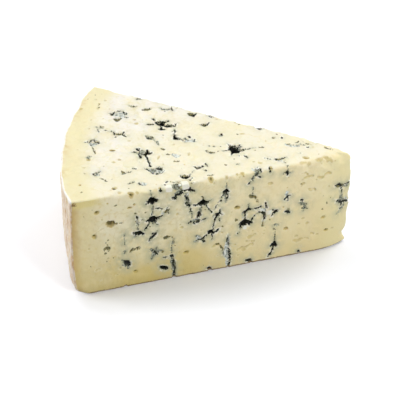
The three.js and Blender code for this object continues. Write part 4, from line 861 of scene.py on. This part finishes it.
def random_mould(face, needles, rng):
    """Mould along needle lines on a cut that isn't seen from the front: stars, arms, links and dots."""
    made = []
    for needle in needles:
        heights = np.sort(rng.uniform(4, HEIGHT - 3, rng.integers(3, 6)))
        previous = None
        for v in heights:
            u = needle + rng.normal(0, 1.6)
            core = rng.uniform(0.35, 1.0)
            kind = rng.choice([DARK, DARK, GREY, OLIVE])
            depth = rng.uniform(0.9, 2.4) * core
            for _ in range(rng.integers(2, 5)):
                turn = rng.uniform(0, 2 * np.pi)
                reach = core * rng.uniform(1.6, 3.0)
                tip = (u + reach * np.cos(turn), v + reach * np.sin(turn), 0.2)
                middle = (u + 0.5 * reach * np.cos(turn), v + 0.5 * reach * np.sin(turn + 0.3), 0.45 * core)
                seed = int(rng.integers(50, 60))
                made.append(Hollow(face, kind, depth, [(u, v, core), middle, tip], seed=seed))
            if core > 0.8:
                made.append(Hollow(face, GREY, 0.4, [(u + 0.5, v - 0.6, 1.25 * core)], seed=61))
            if previous is not None and rng.random() < 0.6:
                link = [(previous[0], previous[1], 0.3), (u, v, 0.25)]
                made.append(Hollow(face, GREY, 0.4, link, seed=62))
            previous = (u, v)
    for _ in range(LOOSE_MARKS):
        u, v = rng.uniform(6, 100), rng.uniform(3, HEIGHT - 2)
        size = rng.uniform(0.25, 0.8)
        kind = rng.choice([OLIVE, EYE, CHIP, GREY])
        made.append(Hollow(face, kind, 0.8 * size, [(u, v, size)], rng.uniform(0.5, 1.0), seed=63))
    return made


def random_pinholes(face, low, high, count, rng):
    """Tiny openings that any cut through the paste shows."""
    made = []
    for _ in range(count):
        u, v = rng.uniform(low[0], high[0]), rng.uniform(low[1], high[1])
        size = rng.uniform(0.18, 0.42)
        kind = rng.choice([EYE, CHIP, OLIVE])
        made.append(Hollow(face, kind, 0.8 * size, [(u, v, size)], rng.uniform(0.5, 1.0), seed=64))
    return made


def all_hollows():
    rng = np.random.default_rng(SEED)
    made = []
    for rows in FACE_ROWS:
        made += hollows_from(*rows)
    made += random_mould("back", BACK_NEEDLES, rng)
    for stretch in PINHOLES:
        made += random_pinholes(*stretch, rng)
    return made


# ---- Carving ----
def grid_axes():
    low = np.array([-WHEEL_RADIUS - 1, -WHEEL_RADIUS * SIN - 1, 0]) - GRID_MARGIN
    high = np.array([0, WHEEL_RADIUS * SIN + 1, HEIGHT + 0.5]) + GRID_MARGIN
    return [np.arange(a, b, GRID_STEP, dtype=np.float32) for a, b in zip(low, high)]


def texture_of(p):
    """Fine relief: crumb on the paste, drag lines of the knife, and wrinkles on the rind."""
    x, y, z = p[:, 0], p[:, 1], p[:, 2]
    angle = np.arctan2(y, -x)
    rind = np.hypot(x, y) - rind_radius(angle, z)
    on_rind = smooth(1 + rind / 1.2)
    on_base = smooth(1 - z / 0.8)
    rough = 0.35 + 0.65 * smooth(0.5 + noise(p, 9.0, 10))
    crumb = 0.12 * noise(p, 3.2, 1) + rough * (0.16 * noise(p, 1.4, 2) + 0.1 * noise(p, 0.7, 3))
    drag = 0.04 * noise(p, (22, 22, 1.1), 4) * smooth((HEIGHT - z) / 2)
    paste = crumb + drag
    unrolled = np.stack([angle * WHEEL_RADIUS, z * 0.22, 0 * z], -1)
    ridge = 1 - 2 * np.abs(noise(unrolled, 1.5, 5))
    folds = 0.22 * noise(unrolled, 3.4, 6) - 0.16 * ridge + 0.1 * noise(p, 1.1, 7)
    flat = 0.05 * noise(p, 2.0, 8)
    return paste * (1 - on_rind) * (1 - on_base) + folds * on_rind * (1 - on_base) + flat * on_base


def crumb_distance(p, centre, radius):
    """Distance from a crumb of paste, a rough and rounded cube."""
    off = p - centre
    along = off[..., 0] * COS + off[..., 1] * SIN
    across = off[..., 1] * COS - off[..., 0] * SIN
    turned = np.stack([along, across, off[..., 2]], -1)
    return (turned**4).sum(-1) ** 0.25 - radius + 0.15 * noise(p, 0.9, 9)


def grid_part(axes, low, high):
    """The stretch of the grid between two corners, as a slice of each axis."""
    return tuple(slice(*np.searchsorted(axis, (a, b))) for axis, a, b in zip(axes, low, high))


def add_crumbs(axes, x, y, z, field):
    """Crumbs standing in their hollows, cut off level with the front and the top."""
    front_limit = x * SIN - y * COS + CRUMB_INSET
    for u, v, radius in FRONT_CRUMBS:
        centre = front_world(u, v, CRUMB_DEPTH * radius)
        part = grid_part(axes, centre - 2 * radius, centre + 2 * radius)
        local = np.stack([x[part], y[part], z[part]], -1)
        crumb = crumb_distance(local, centre, radius)
        crumb = np.maximum(crumb, np.maximum(front_limit[part], local[..., 2] - HEIGHT + CRUMB_INSET))
        field[part] = np.minimum(field[part], crumb)


def carved_field(hollows):
    """The grid's axes, and the field on it with the relief, the hollows and the crumbs."""
    axes = grid_axes()
    x, y, z = np.meshgrid(*axes, indexing="ij", sparse=True)
    x, y, z = (np.broadcast_to(a, tuple(len(n) for n in axes)) for a in (x, y, z))
    field = plain_field(x, y, z).astype(np.float32)
    near = np.abs(field) < RELIEF_BAND
    field[near] += texture_of(np.stack([x[near], y[near], z[near]], -1))
    for hollow in hollows:
        part = grid_part(axes, *hollow.box(CARVE_MARGIN))
        if field[part].size == 0:
            continue
        local = np.stack([x[part], y[part], z[part]], -1)
        field[part] = soft_max(field[part], -hollow.distance(local), CARVE_ROUND)
    add_crumbs(axes, x, y, z, field)
    return axes, field


# ---- From the field to a mesh ----
CORNERS = np.array([((c >> 2) & 1, (c >> 1) & 1, c & 1) for c in range(8)])
EDGES = [(a, b) for a in range(8) for b in range(a + 1, 8) if abs(CORNERS[a] - CORNERS[b]).sum() == 1]


def surface_net(axes, field):
    """A mesh of four-sided faces on the field's zero level: one vertex in each cell that it crosses."""
    inside = field < 0
    count = sum(
        inside[tuple(slice(o, n - 1 + o) for o, n in zip(corner, inside.shape))].astype(np.uint8)
        for corner in CORNERS
    )
    active = (count > 0) & (count < 8)
    cells = np.argwhere(active)
    index = np.full(active.shape, -1, np.int32)
    index[active] = np.arange(len(cells))
    values = [field[tuple((cells + corner).T)] for corner in CORNERS]
    total = np.zeros((len(cells), 3))
    hits = np.zeros(len(cells))
    for a, b in EDGES:
        crosses = (values[a] < 0) != (values[b] < 0)
        t = values[a][crosses] / (values[a][crosses] - values[b][crosses])
        total[crosses] += CORNERS[a] + t[:, None] * (CORNERS[b] - CORNERS[a])
        hits[crosses] += 1
    origin = np.array([axis[0] for axis in axes])
    vertices = origin + GRID_STEP * (cells + total / hits[:, None])
    faces = []
    for axis in range(3):
        second, third = (axis + 1) % 3, (axis + 2) % 3
        low = [slice(1, -1)] * 3
        high = [slice(1, -1)] * 3
        low[axis], high[axis] = slice(0, -1), slice(1, None)
        a, b = inside[tuple(low)], inside[tuple(high)]
        for leaving in (True, False):
            where = np.argwhere(a & ~b if leaving else ~a & b)
            where[:, second] += 1
            where[:, third] += 1
            around = []
            for ds, dt in ((-1, -1), (0, -1), (0, 0), (-1, 0)):
                cell = where.copy()
                cell[:, second] += ds
                cell[:, third] += dt
                around.append(index[tuple(cell.T)])
            faces.append(np.stack(around if leaving else around[::-1], -1))
    return vertices, np.concatenate(faces)


def to_frame(vertices):
    return (vertices + [AXIS_X, AXIS_Y, 0]) / 1000


def cheese_object(vertices, faces):
    mesh = bpy.data.meshes.new("blue_cheese")
    mesh.from_pydata(to_frame(vertices), [], faces.tolist())
    made = bpy.data.objects.new("blue_cheese", mesh)
    bpy.context.scene.collection.objects.link(made)
    triangles = 2 * len(faces)
    if triangles > MOST_TRIANGLES:
        thin = made.modifiers.new("thin", "DECIMATE")
        thin.ratio = MOST_TRIANGLES / triangles
        applied = bpy.data.meshes.new_from_object(made.evaluated_get(bpy.context.evaluated_depsgraph_get()))
        made.modifiers.clear()
        made.data = applied
    made.data.shade_smooth()
    return made


# ---- Distances that colour the mesh, in millimetres ----
# What a distance is where nothing is near.
FAR = 9.0


def mesh_points(mesh):
    flat = np.zeros(len(mesh.vertices) * 3, np.float32)
    mesh.vertices.foreach_get("co", flat)
    return flat.reshape(-1, 3) * 1000 - np.array([AXIS_X, AXIS_Y, 0], np.float32)


def add_attribute(mesh, name, values):
    mesh.attributes.new(name, "FLOAT", "POINT").data.foreach_set("value", values.astype(np.float32))


def mould_attributes(mesh, p, hollows):
    """Distance from the mouth of the nearest hollow of each kind."""
    fields = {kind: np.full(len(p), FAR, np.float32) for kind in (DARK, GREY, PALE, OLIVE, EYE, CHIP)}
    for hollow in hollows:
        low, high = hollow.box(COLOUR_MARGIN)
        near = np.where(((p > low) & (p < high)).all(1))[0]
        if len(near):
            kept = fields[hollow.kind]
            kept[near] = np.minimum(kept[near], hollow.distance(p[near], flat=True))
    for kind, values in fields.items():
        add_attribute(mesh, "far_" + kind, values)


def face_attributes(mesh, p):
    """Depth below the rind, the base, the top and the nose."""
    x, y, z = p[:, 0], p[:, 1], p[:, 2]
    rind, from_axis = rind_radius(np.arctan2(y, -x), z), np.hypot(x, y)
    add_attribute(mesh, "rind_depth", rind - from_axis)
    add_attribute(mesh, "base_depth", z)
    from_side = np.maximum(BASE_ROUND - rind + from_axis, 0)
    from_base = np.maximum(BASE_ROUND - z, 0)
    add_attribute(mesh, "skin_depth", BASE_ROUND - np.hypot(from_side, from_base))
    add_attribute(mesh, "top_depth", top_height(x, y) - z)
    add_attribute(mesh, "nose_depth", -nose_field(x, y, z))


def colour_attributes(mesh, hollows):
    p = mesh_points(mesh)
    mould_attributes(mesh, p, hollows)
    face_attributes(mesh, p)
    add_attribute(mesh, "far_bruise", np.linalg.norm(p - front_world(*BRUISE_AT), axis=1))
    crumb = np.full(len(p), FAR, np.float32)
    for u, v, radius in FRONT_CRUMBS:
        centre = front_world(u, v, CRUMB_DEPTH * radius)
        crumb = np.minimum(crumb, crumb_distance(p, centre, radius))
    add_attribute(mesh, "far_crumb", crumb)


# ---- Materials ----
# Screen colours, 0 to 255. The side is the cut paste of the front, the back and the nose.
SIDE_PALE, SIDE_WARM = (248, 240, 206), (245, 235, 193)
SIDE_FLECK, SIDE_KNIT = (237, 222, 170), (222, 206, 146)
# The top's paste is whiter than the side's and the side's yellower: painted light, the top's washed-out
# brightness and the side's warmer shade.
TOP_PALE, TOP_WARM = (246, 242, 231), (244, 238, 215)
TOP_FLECK, TOP_KNIT = (236, 228, 186), (232, 222, 160)
TOP_BY_RIND, SIDE_BY_RIND, SIDE_AT_RIND = (240, 230, 182), (240, 224, 168), (216, 186, 122)
# Low on the side the paste turns darker and yellower, partly its colour and partly painted shade; the foot
# colour is painted shade just above the base.
SIDE_LOW, SIDE_LOWEST, SIDE_FOOT_SHADE = (230, 210, 140), (220, 199, 122), (200, 178, 108)
# Towards the nose the side is lighter and warmer: partly the paste's colour, partly painted light from the
# right.
SIDE_LIT_BY_NOSE, SIDE_AT_NOSE = (253, 238, 190), (244, 234, 180)
TOP_BY_NOSE, TOP_AT_NOSE = (243, 235, 194), (244, 232, 176)
# Under the top edge at the rind corner: partly golden paste, partly a painted highlight on the rounded
# edge.
CORNER_GOLD_AND_HIGHLIGHT = (238, 222, 148)
WIDE_STAIN, CLOSE_STAIN, POCKET_RIM = (204, 202, 167), (176, 180, 152), (250, 248, 234)
# A chip's core is painted shade, and its rim a painted highlight.
CHIP_HIGHLIGHT_RIM, CHIP_SHADE_CORE = (253, 248, 226), (210, 191, 124)
# An eye's wall and floor are partly stain and partly painted shade inside the hole.
EYE_WALL_STAIN_AND_SHADE, EYE_FLOOR_STAIN_AND_SHADE = (202, 178, 96), (84, 76, 26)
OLIVE_PALE, OLIVE_DEEP = (128, 118, 56), (50, 56, 28)
FROST_WHITE, FROST_GREY = (238, 242, 236), (134, 146, 142)
FUR_DARK, FUR_PALE = (62, 68, 56), (184, 190, 172)
WALL_DARK, WALL_PALE = (26, 32, 26), (84, 90, 66)
# The heart of a dark pocket is nearly black: partly mould, partly painted shade deep in the pocket.
SHADED_HEART_DARK, SHADED_HEART_PALE = (3, 4, 3), (34, 38, 18)
CRUMB_PASTE = (246, 246, 230)
RIND_TAN, RIND_CREAM = (214, 174, 122), (234, 207, 162)
RIND_BLOOM, RIND_DUST, RIND_RIM = (251, 247, 239), (198, 158, 122), (252, 249, 242)
BASE_BROWN, BASE_BLOOM = (196, 150, 96), (228, 212, 190)
# The dark line along the foot of the cut faces is partly the base rind's edge and partly painted contact
# shadow.
RIND_EDGE_AND_SHADOW_DARK, CONTACT_PALE = (140, 120, 84), (236, 226, 196)
BRUISE_BROWN = (122, 84, 44)
FLOOR_LIGHT = (0.947, 0.96, 1.0, 1)
# The share of light that goes under the surface of the paste. In the dark mould it is none.
SUBSURFACE = 0.25
# What the screen colours are multiplied by, once they are linear light.
ALBEDO = 0.81


def linear(red, green, blue):
    """A screen colour, 0 to 255, as Blender's linear light, dimmed for the bright studio."""
    return [
        ALBEDO * (((c / 255 + 0.055) / 1.055) ** 2.4 if c > 10 else c / 255 / 12.92)
        for c in (red, green, blue)
    ] + [1]


class Shader:
    """A material's node tree, with a short word for each kind of node."""

    def __init__(self, name):
        self.material = bpy.data.materials.new(name)
        self.material.use_nodes = True
        self.tree = self.material.node_tree
        self.tree.nodes.clear()

    def put(self, node, socket, value):
        if isinstance(value, bpy.types.NodeSocket):
            self.tree.links.new(value, node.inputs[socket])
        else:
            node.inputs[socket].default_value = value

    def attribute(self, name):
        node = self.tree.nodes.new("ShaderNodeAttribute")
        node.attribute_name = name
        return node.outputs["Fac"]

    def math(self, operation, a, b):
        node = self.tree.nodes.new("ShaderNodeMath")
        node.operation = operation
        self.put(node, 0, a)
        self.put(node, 1, b)
        return node.outputs[0]

    def times(self, a, b):
        return self.math("MULTIPLY", a, b)

    def plus(self, a, b):
        return self.math("ADD", a, b)

    def shaken(self, value, wobble, amount):
        """A distance made uneven by `amount` millimetres of a noise."""
        return self.plus(value, self.times(wobble, amount))

    def ramp(self, value, low, high):
        """0 at `low`, 1 at `high`, smooth between them."""
        node = self.tree.nodes.new("ShaderNodeMapRange")
        node.interpolation_type = "SMOOTHSTEP"
        self.put(node, "Value", value)
        self.put(node, "From Min", min(low, high))
        self.put(node, "From Max", max(low, high))
        node.inputs["To Min"].default_value = 0.0 if low < high else 1.0
        node.inputs["To Max"].default_value = 1.0 if low < high else 0.0
        return node.outputs["Result"]

    def mix(self, share, a, b):
        """Colour a where share is 0 and colour b where it is 1. A colour is a socket or three numbers."""
        node = self.tree.nodes.new("ShaderNodeMix")
        node.data_type = "RGBA"
        self.put(node, 0, share)
        self.put(node, 6, linear(*a) if isinstance(a, tuple) else a)
        self.put(node, 7, linear(*b) if isinstance(b, tuple) else b)
        return node.outputs[2]

    def tint(self, base, colour, share, amount):
        """Lay a colour over the base, by share times amount."""
        return self.mix(self.times(share, amount), base, colour)

    def noise(self, per_mm, detail=4.0, vector=None, rough=0.55):
        node = self.tree.nodes.new("ShaderNodeTexNoise")
        node.inputs["Scale"].default_value = per_mm * 1000
        node.inputs["Detail"].default_value = detail
        node.inputs["Roughness"].default_value = rough
        self.put(node, "Vector", vector or self.position())
        return node.outputs["Fac"]

    def position(self):
        return self.tree.nodes.new("ShaderNodeTexCoord").outputs["Object"]

    def knit_lines(self, per_mm):
        """Thin broken lines where the curds knit together, 1 on a line."""
        warp = self.tree.nodes.new("ShaderNodeVectorMath")
        warp.operation = "MULTIPLY_ADD"
        bend = self.tree.nodes.new("ShaderNodeTexNoise")
        bend.inputs["Scale"].default_value = 400
        self.put(bend, "Vector", self.position())
        self.put(warp, 0, bend.outputs["Color"])
        warp.inputs[1].default_value = (0.003, 0.003, 0.003)
        self.put(warp, 2, self.position())
        cells = self.tree.nodes.new("ShaderNodeTexVoronoi")
        cells.feature = "DISTANCE_TO_EDGE"
        cells.inputs["Scale"].default_value = per_mm * 1000
        self.put(cells, "Vector", warp.outputs[0])
        line = self.ramp(cells.outputs["Distance"], 0.07, 0.0)
        return self.times(line, self.ramp(self.noise(0.25, 2.0), 0.45, 0.6))

    def shown(self, shader):
        """The material, with the shader as its surface."""
        output = self.tree.nodes.new("ShaderNodeOutputMaterial")
        self.put(output, "Surface", shader.outputs["BSDF"])
        return self.material

    def stretched(self, scale):
        node = self.tree.nodes.new("ShaderNodeMapping")
        node.inputs["Scale"].default_value = scale
        self.put(node, "Vector", self.position())
        return node.outputs["Vector"]


def plain_paste(s):
    """Cut paste away from every edge, on the side and on the top: clouds, flecks and knit lines. The top is
    whiter and the side yellower, which is painted light: the top's washed-out brightness and the side's
    warmer shade.
    """
    cloudy = s.ramp(s.noise(0.11, 3.0), 0.38, 0.66)
    flecks = s.ramp(s.noise(0.6, 4.0), 0.5, 0.74)
    knit = s.knit_lines(0.17)
    side = s.mix(cloudy, SIDE_PALE, SIDE_WARM)
    side = s.mix(flecks, side, SIDE_FLECK)
    side = s.tint(side, SIDE_KNIT, knit, 0.35)
    top = s.mix(cloudy, TOP_PALE, TOP_WARM)
    top = s.tint(top, TOP_FLECK, flecks, 0.7)
    top = s.tint(top, TOP_KNIT, knit, 0.35)
    return side, top


def paste_by_rind(s, coarse, side, top):
    rind = s.attribute("rind_depth")
    band = s.ramp(s.shaken(rind, coarse, 6.0), 14.0, 5.0)
    top = s.tint(top, TOP_BY_RIND, band, 0.85)
    side = s.tint(side, SIDE_BY_RIND, band, 0.55)
    side = s.tint(side, SIDE_AT_RIND, s.ramp(s.shaken(rind, coarse, 2.0), 4.6, 0.4), 0.9)
    return side, top


def paste_by_base(s, coarse, side):
    """Darker and yellower towards the base, most of all away from the rind: partly the paste's colour,
    partly painted shade, and in the last few millimetres painted shade.
    """
    base = s.attribute("base_depth")
    broad = s.times(s.math("SUBTRACT", s.noise(0.06, 2.0), 0.5), 34.0)
    inward = s.plus(s.times(s.ramp(s.attribute("rind_depth"), 4.0, 26.0), 0.5), 0.38)
    low = s.shaken(s.plus(base, broad), coarse, 8.0)
    side = s.mix(s.times(s.ramp(low, 28.0, 4.0), inward), side, SIDE_LOW)
    side = s.tint(side, SIDE_LOWEST, s.times(s.ramp(low, 14.0, -2.0), inward), 0.75)
    return s.tint(side, SIDE_FOOT_SHADE, s.ramp(s.shaken(base, coarse, 2.5), 5.0, 1.0), 0.45)


def paste_by_nose(s, coarse, side, top):
    nose = s.shaken(s.attribute("nose_depth"), coarse, 5.0)
    # Lighter and warmer towards the nose: partly the paste's colour, partly painted light from the right.
    side = s.tint(side, SIDE_LIT_BY_NOSE, s.ramp(nose, 34.0, 12.0), 0.6)
    side = s.tint(side, SIDE_AT_NOSE, s.ramp(nose, 6.0, 0.5), 0.6)
    top = s.tint(top, TOP_BY_NOSE, s.ramp(nose, 69.0, 46.0), 0.45)
    top = s.tint(top, TOP_AT_NOSE, s.ramp(nose, 9.0, 1.0), 0.5)
    return side, top


def paste_colour(s, coarse):
    """Cut paste, with painted light: whiter on top and yellower on the side. Deeper in colour towards the
    rind, the base and the nose; towards the base partly painted shade, on the side towards the nose partly
    painted light, and a golden band under the edge at the rind corner partly a painted highlight.
    """
    side, top = plain_paste(s)
    side, top = paste_by_rind(s, coarse, side, top)
    side = paste_by_base(s, coarse, side)
    side, top = paste_by_nose(s, coarse, side, top)
    below_top = s.attribute("top_depth")
    corner = s.ramp(s.shaken(s.attribute("far_bruise"), coarse, 5.0), 13.0, 6.0)
    under_edge = s.times(s.ramp(below_top, 4.0, 2.2), s.ramp(below_top, 0.1, 0.6))
    # Partly golden paste, partly a painted highlight on the rounded edge.
    side = s.tint(side, CORNER_GOLD_AND_HIGHLIGHT, s.times(corner, under_edge), 0.75)
    return s.mix(s.ramp(s.shaken(below_top, coarse, 0.8), -0.1, 0.6), top, side)


def stained_paste(s, paste, dark):
    """A wide pale stain, a closer greyer one, and a pale rim round each dark pocket."""
    patchy = s.noise(0.5, 3.0)
    stain = s.math("MINIMUM", s.attribute("far_dark"), s.plus(s.attribute("far_grey"), 0.3))
    below_top = s.ramp(s.attribute("top_depth"), 0.3, 1.5)
    wide = s.times(s.ramp(stain, 4.4, 0.4), s.ramp(patchy, 0.25, 0.6))
    inward = s.plus(s.times(s.ramp(s.attribute("nose_depth"), 22.0, 52.0), 0.42), 0.32)
    colour = s.tint(paste, WIDE_STAIN, wide, s.plus(s.times(below_top, inward), 0.18))
    close = s.times(s.ramp(stain, 1.5, 0.1), s.ramp(patchy, 0.35, 0.65))
    colour = s.tint(colour, CLOSE_STAIN, close, s.plus(s.times(below_top, 0.15), 0.35))
    rim = s.times(s.ramp(dark, 0.9, 0.3), s.ramp(patchy, 0.6, 0.4))
    return s.tint(colour, POCKET_RIM, rim, 0.7)


def holes(s, colour, speck):
    """Chips, bare paste with painted shade inside and a painted highlight round the rim, and gas holes,
    darker in their walls and floor, partly stain and partly painted shade.
    """
    chip = s.shaken(s.attribute("far_chip"), speck, 0.4)
    colour = s.tint(colour, CHIP_HIGHLIGHT_RIM, s.ramp(chip, 0.7, 0.2), 0.16)
    colour = s.tint(colour, CHIP_SHADE_CORE, s.ramp(chip, 0.3, -0.4), 0.66)
    far_eye = s.attribute("far_eye")
    colour = s.tint(colour, EYE_WALL_STAIN_AND_SHADE, s.ramp(s.shaken(far_eye, speck, 0.4), 0.15, -0.3), 0.7)
    return s.tint(colour, EYE_FLOOR_STAIN_AND_SHADE, s.ramp(far_eye, -0.35, -1.1), 0.9)


def growths(s, colour, speck):
    """Olive, pale and grey mould, each over the last."""
    kinds = (
        ("far_olive", 0.8, 0.9, (1.6, 2.0, 0.42, 0.6), OLIVE_PALE, OLIVE_DEEP),
        ("far_pale", 1.0, 0.85, (1.2, 4.0, 0.44, 0.62), FROST_WHITE, FROST_GREY),
        ("far_grey", 1.1, 0.85, (1.5, 4.0, 0.42, 0.62), FUR_DARK, FUR_PALE),
    )
    for name, raggedness, share, (per_mm, detail, low, high), first, second in kinds:
        fur = s.mix(s.ramp(s.noise(per_mm, detail), low, high), first, second)
        inside = s.ramp(s.shaken(s.attribute(name), speck, raggedness), 0.15, -0.15)
        colour = s.tint(colour, fur, inside, share)
    return colour


def mould_colour(s, paste, speck):
    """Mould over the paste from the outside in, and how much of it is dark. Towards the middle of a dark
    pocket the mould turns nearly black: partly the mould, partly painted shade deep in the pocket.
    """
    far_dark = s.attribute("far_dark")
    dark = s.shaken(far_dark, speck, 0.8)
    colour = growths(s, holes(s, stained_paste(s, paste, dark), speck), speck)
    shade = s.ramp(s.noise(1.3, 3.0), 0.46, 0.66)
    wall = s.mix(shade, WALL_DARK, WALL_PALE)
    shaded_heart = s.mix(shade, SHADED_HEART_DARK, SHADED_HEART_PALE)
    pocket = s.mix(s.ramp(far_dark, -0.05, -0.4), wall, shaded_heart)
    dark_share = s.math("MAXIMUM", s.ramp(dark, 0.12, -0.08), s.ramp(far_dark, -0.15, -0.4))
    crumb = s.ramp(s.attribute("far_crumb"), 0.3, 0.05)
    dark_share = s.times(dark_share, s.math("SUBTRACT", 1.0, crumb))
    return s.mix(crumb, s.mix(dark_share, colour, pocket), CRUMB_PASTE), dark_share


def rind_skin(s, bloom):
    """The bloomy rind of the side, with a pale rim at the top."""
    streak = s.noise(0.45, 5.0, s.stretched((1, 1, 0.14)))
    skin = s.mix(s.ramp(streak, 0.38, 0.64), RIND_TAN, RIND_CREAM)
    skin = s.tint(skin, RIND_BLOOM, bloom, 0.76)
    skin = s.tint(skin, RIND_DUST, s.ramp(s.noise(0.2, 5.0), 0.55, 0.7), 0.5)
    return s.mix(s.ramp(s.attribute("top_depth"), 0.9, 0.3), skin, RIND_RIM)


def rind_colour(s, cheese, speck):
    """Bloomy rind round the side, a thin rind under the base, a bruise at the corner, and a dark line with
    pale grains along the foot of the cut faces, partly the base rind's edge and partly painted contact
    shadow.
    """
    base = s.attribute("base_depth")
    bloom = s.ramp(s.noise(0.8, 6.0, s.stretched((1, 1, 0.35)), rough=0.7), 0.36, 0.64)
    skin_depth = s.shaken(s.attribute("skin_depth"), speck, 0.35)
    colour = s.mix(s.ramp(skin_depth, 0.7, 0.4), cheese, rind_skin(s, bloom))
    # Partly the base rind's edge, partly painted contact shadow.
    rind_edge_and_shadow = s.mix(s.ramp(speck, 0.25, 0.5), RIND_EDGE_AND_SHADOW_DARK, CONTACT_PALE)
    by_base = s.ramp(s.shaken(base, speck, 0.3), 1.0, 0.6)
    cut_edge = s.times(by_base, s.ramp(s.attribute("rind_depth"), 2.5, 6.0))
    colour = s.mix(cut_edge, colour, rind_edge_and_shadow)
    under = s.mix(s.times(bloom, 0.6), BASE_BROWN, BASE_BLOOM)
    colour = s.mix(s.ramp(base, 0.3, 0.1), colour, under)
    bruise = s.shaken(s.attribute("far_bruise"), speck, 1.0)
    return s.tint(colour, BRUISE_BROWN, s.ramp(bruise, 1.2, 0.4), 0.8)


def cheese_material():
    s = Shader("cheese")
    coarse = s.math("SUBTRACT", s.noise(0.35, 3.0), 0.5)
    speck = s.times(s.math("SUBTRACT", s.noise(1.7, 2.5), 0.5), 2.2)
    cheese, dark_share = mould_colour(s, paste_colour(s, coarse), speck)
    shader = s.tree.nodes.new("ShaderNodeBsdfPrincipled")
    s.put(shader, "Base Color", rind_colour(s, cheese, speck))
    s.put(shader, "Roughness", 0.45)
    s.put(shader, "Specular IOR Level", 0.18)
    under = s.math("SUBTRACT", SUBSURFACE, s.times(dark_share, SUBSURFACE))
    s.put(shader, "Subsurface Weight", under)
    s.put(shader, "Subsurface Radius", (1.0, 0.7, 0.4))
    s.put(shader, "Subsurface Scale", 0.0008)
    bump = s.tree.nodes.new("ShaderNodeBump")
    s.put(bump, "Strength", 0.6)
    s.put(bump, "Distance", 0.0003)
    s.put(bump, "Height", s.noise(2.0, 5.0))
    s.put(shader, "Normal", bump.outputs["Normal"])
    return s.shown(shader)


def plain_material(name, colour, roughness):
    s = Shader(name)
    shader = s.tree.nodes.new("ShaderNodeBsdfPrincipled")
    s.put(shader, "Base Color", colour)
    s.put(shader, "Roughness", roughness)
    s.put(shader, "Specular IOR Level", 0.0)
    return s.shown(shader)


# ---- Stage, light and camera ----
CAMERA_LENS = 189.0
CAMERA_DISTANCE = 0.8222
CAMERA_ELEVATION = np.radians(35.611)
CAMERA_AZIMUTH = np.radians(3.444)
CAMERA_TARGET = Vector(((AXIS_X - 60.85) / 1000, (AXIS_Y + 24.59) / 1000, 0))
FLOOR_SIZE = 6
# What every lamp points at.
LIT_POINT = Vector((0, 0, 0.02))
# Each lamp: name, position, size and power.
LAMPS = (
    ("left", (-0.9, 0.0, 0.4), 0.5, 7.8),
    ("back_right", (0.5, 0.5, 0.7), 0.5, 4.8),
    ("back_left", (-0.5, 0.5, 0.7), 0.5, 2.8),
    ("back", (0.0, 0.45, 0.8), 0.5, 1.2),
    ("front", (0.0, -0.8, 0.5), 0.5, 1.25),
    ("near_right", (0.32, -0.34, 0.22), 0.2, 1.66),
)
# The sky's brightness below, level with and above the object.
SKY = (0.4, 0.2, 0.12)


def add_floor():
    bpy.ops.mesh.primitive_plane_add(size=FLOOR_SIZE)
    floor = bpy.context.object
    floor.name = "floor"
    floor.location.z = CAD_LOW[2]
    floor.data.materials.append(plain_material("floor", FLOOR_LIGHT, 0.9))
    floor.visible_diffuse = False
    floor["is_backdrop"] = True


def look_from(position, target):
    return (position - target).to_track_quat("Z", "Y").to_euler()


def add_light(name, position, size, energy):
    data = bpy.data.lights.new(name, "AREA")
    data.size = size
    data.energy = energy
    lamp = bpy.data.objects.new(name, data)
    bpy.context.scene.collection.objects.link(lamp)
    lamp.location = position
    lamp.rotation_euler = look_from(Vector(position), LIT_POINT)


def add_world(below, level, above):
    """An even studio sky, with its brightness below, level with and above the object."""
    world = bpy.data.worlds.new("studio")
    world.use_nodes = True
    tree = world.node_tree
    way = tree.nodes.new("ShaderNodeTexCoord")
    split = tree.nodes.new("ShaderNodeSeparateXYZ")
    ramp = tree.nodes.new("ShaderNodeValToRGB")
    height = tree.nodes.new("ShaderNodeMapRange")
    height.inputs["From Min"].default_value = -1
    tree.links.new(way.outputs["Generated"], split.inputs[0])
    tree.links.new(split.outputs["Z"], height.inputs["Value"])
    tree.links.new(height.outputs["Result"], ramp.inputs["Fac"])
    ramp.color_ramp.elements[0].color = (below, below, below, 1)
    ramp.color_ramp.elements[1].color = (above, above, above, 1)
    middle = ramp.color_ramp.elements.new(0.5)
    middle.color = (level, level, level, 1)
    tree.links.new(ramp.outputs["Color"], tree.nodes["Background"].inputs["Color"])
    bpy.context.scene.world = world


def add_camera():
    data = bpy.data.cameras.new("camera")
    data.lens = CAMERA_LENS
    data.sensor_width = 36
    camera = bpy.data.objects.new("camera", data)
    bpy.context.scene.collection.objects.link(camera)
    flat = np.cos(CAMERA_ELEVATION) * CAMERA_DISTANCE
    away = Vector((flat * np.sin(CAMERA_AZIMUTH), -flat * np.cos(CAMERA_AZIMUTH), 0))
    away.z = np.sin(CAMERA_ELEVATION) * CAMERA_DISTANCE
    camera.location = CAMERA_TARGET + away
    camera.rotation_euler = look_from(camera.location, CAMERA_TARGET)
    bpy.context.scene.camera = camera


def build():
    hollows = all_hollows()
    axes, field = carved_field(hollows)
    cheese = cheese_object(*surface_net(axes, field))
    colour_attributes(cheese.data, hollows)
    cheese.data.materials.append(cheese_material())
    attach(cheese, "root")
    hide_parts("cheese_wedge")
    add_floor()
    add_world(*SKY)
    for lamp in LAMPS:
        add_light(*lamp)
    add_camera()
    bpy.context.scene.view_settings.view_transform = "Standard"


build()
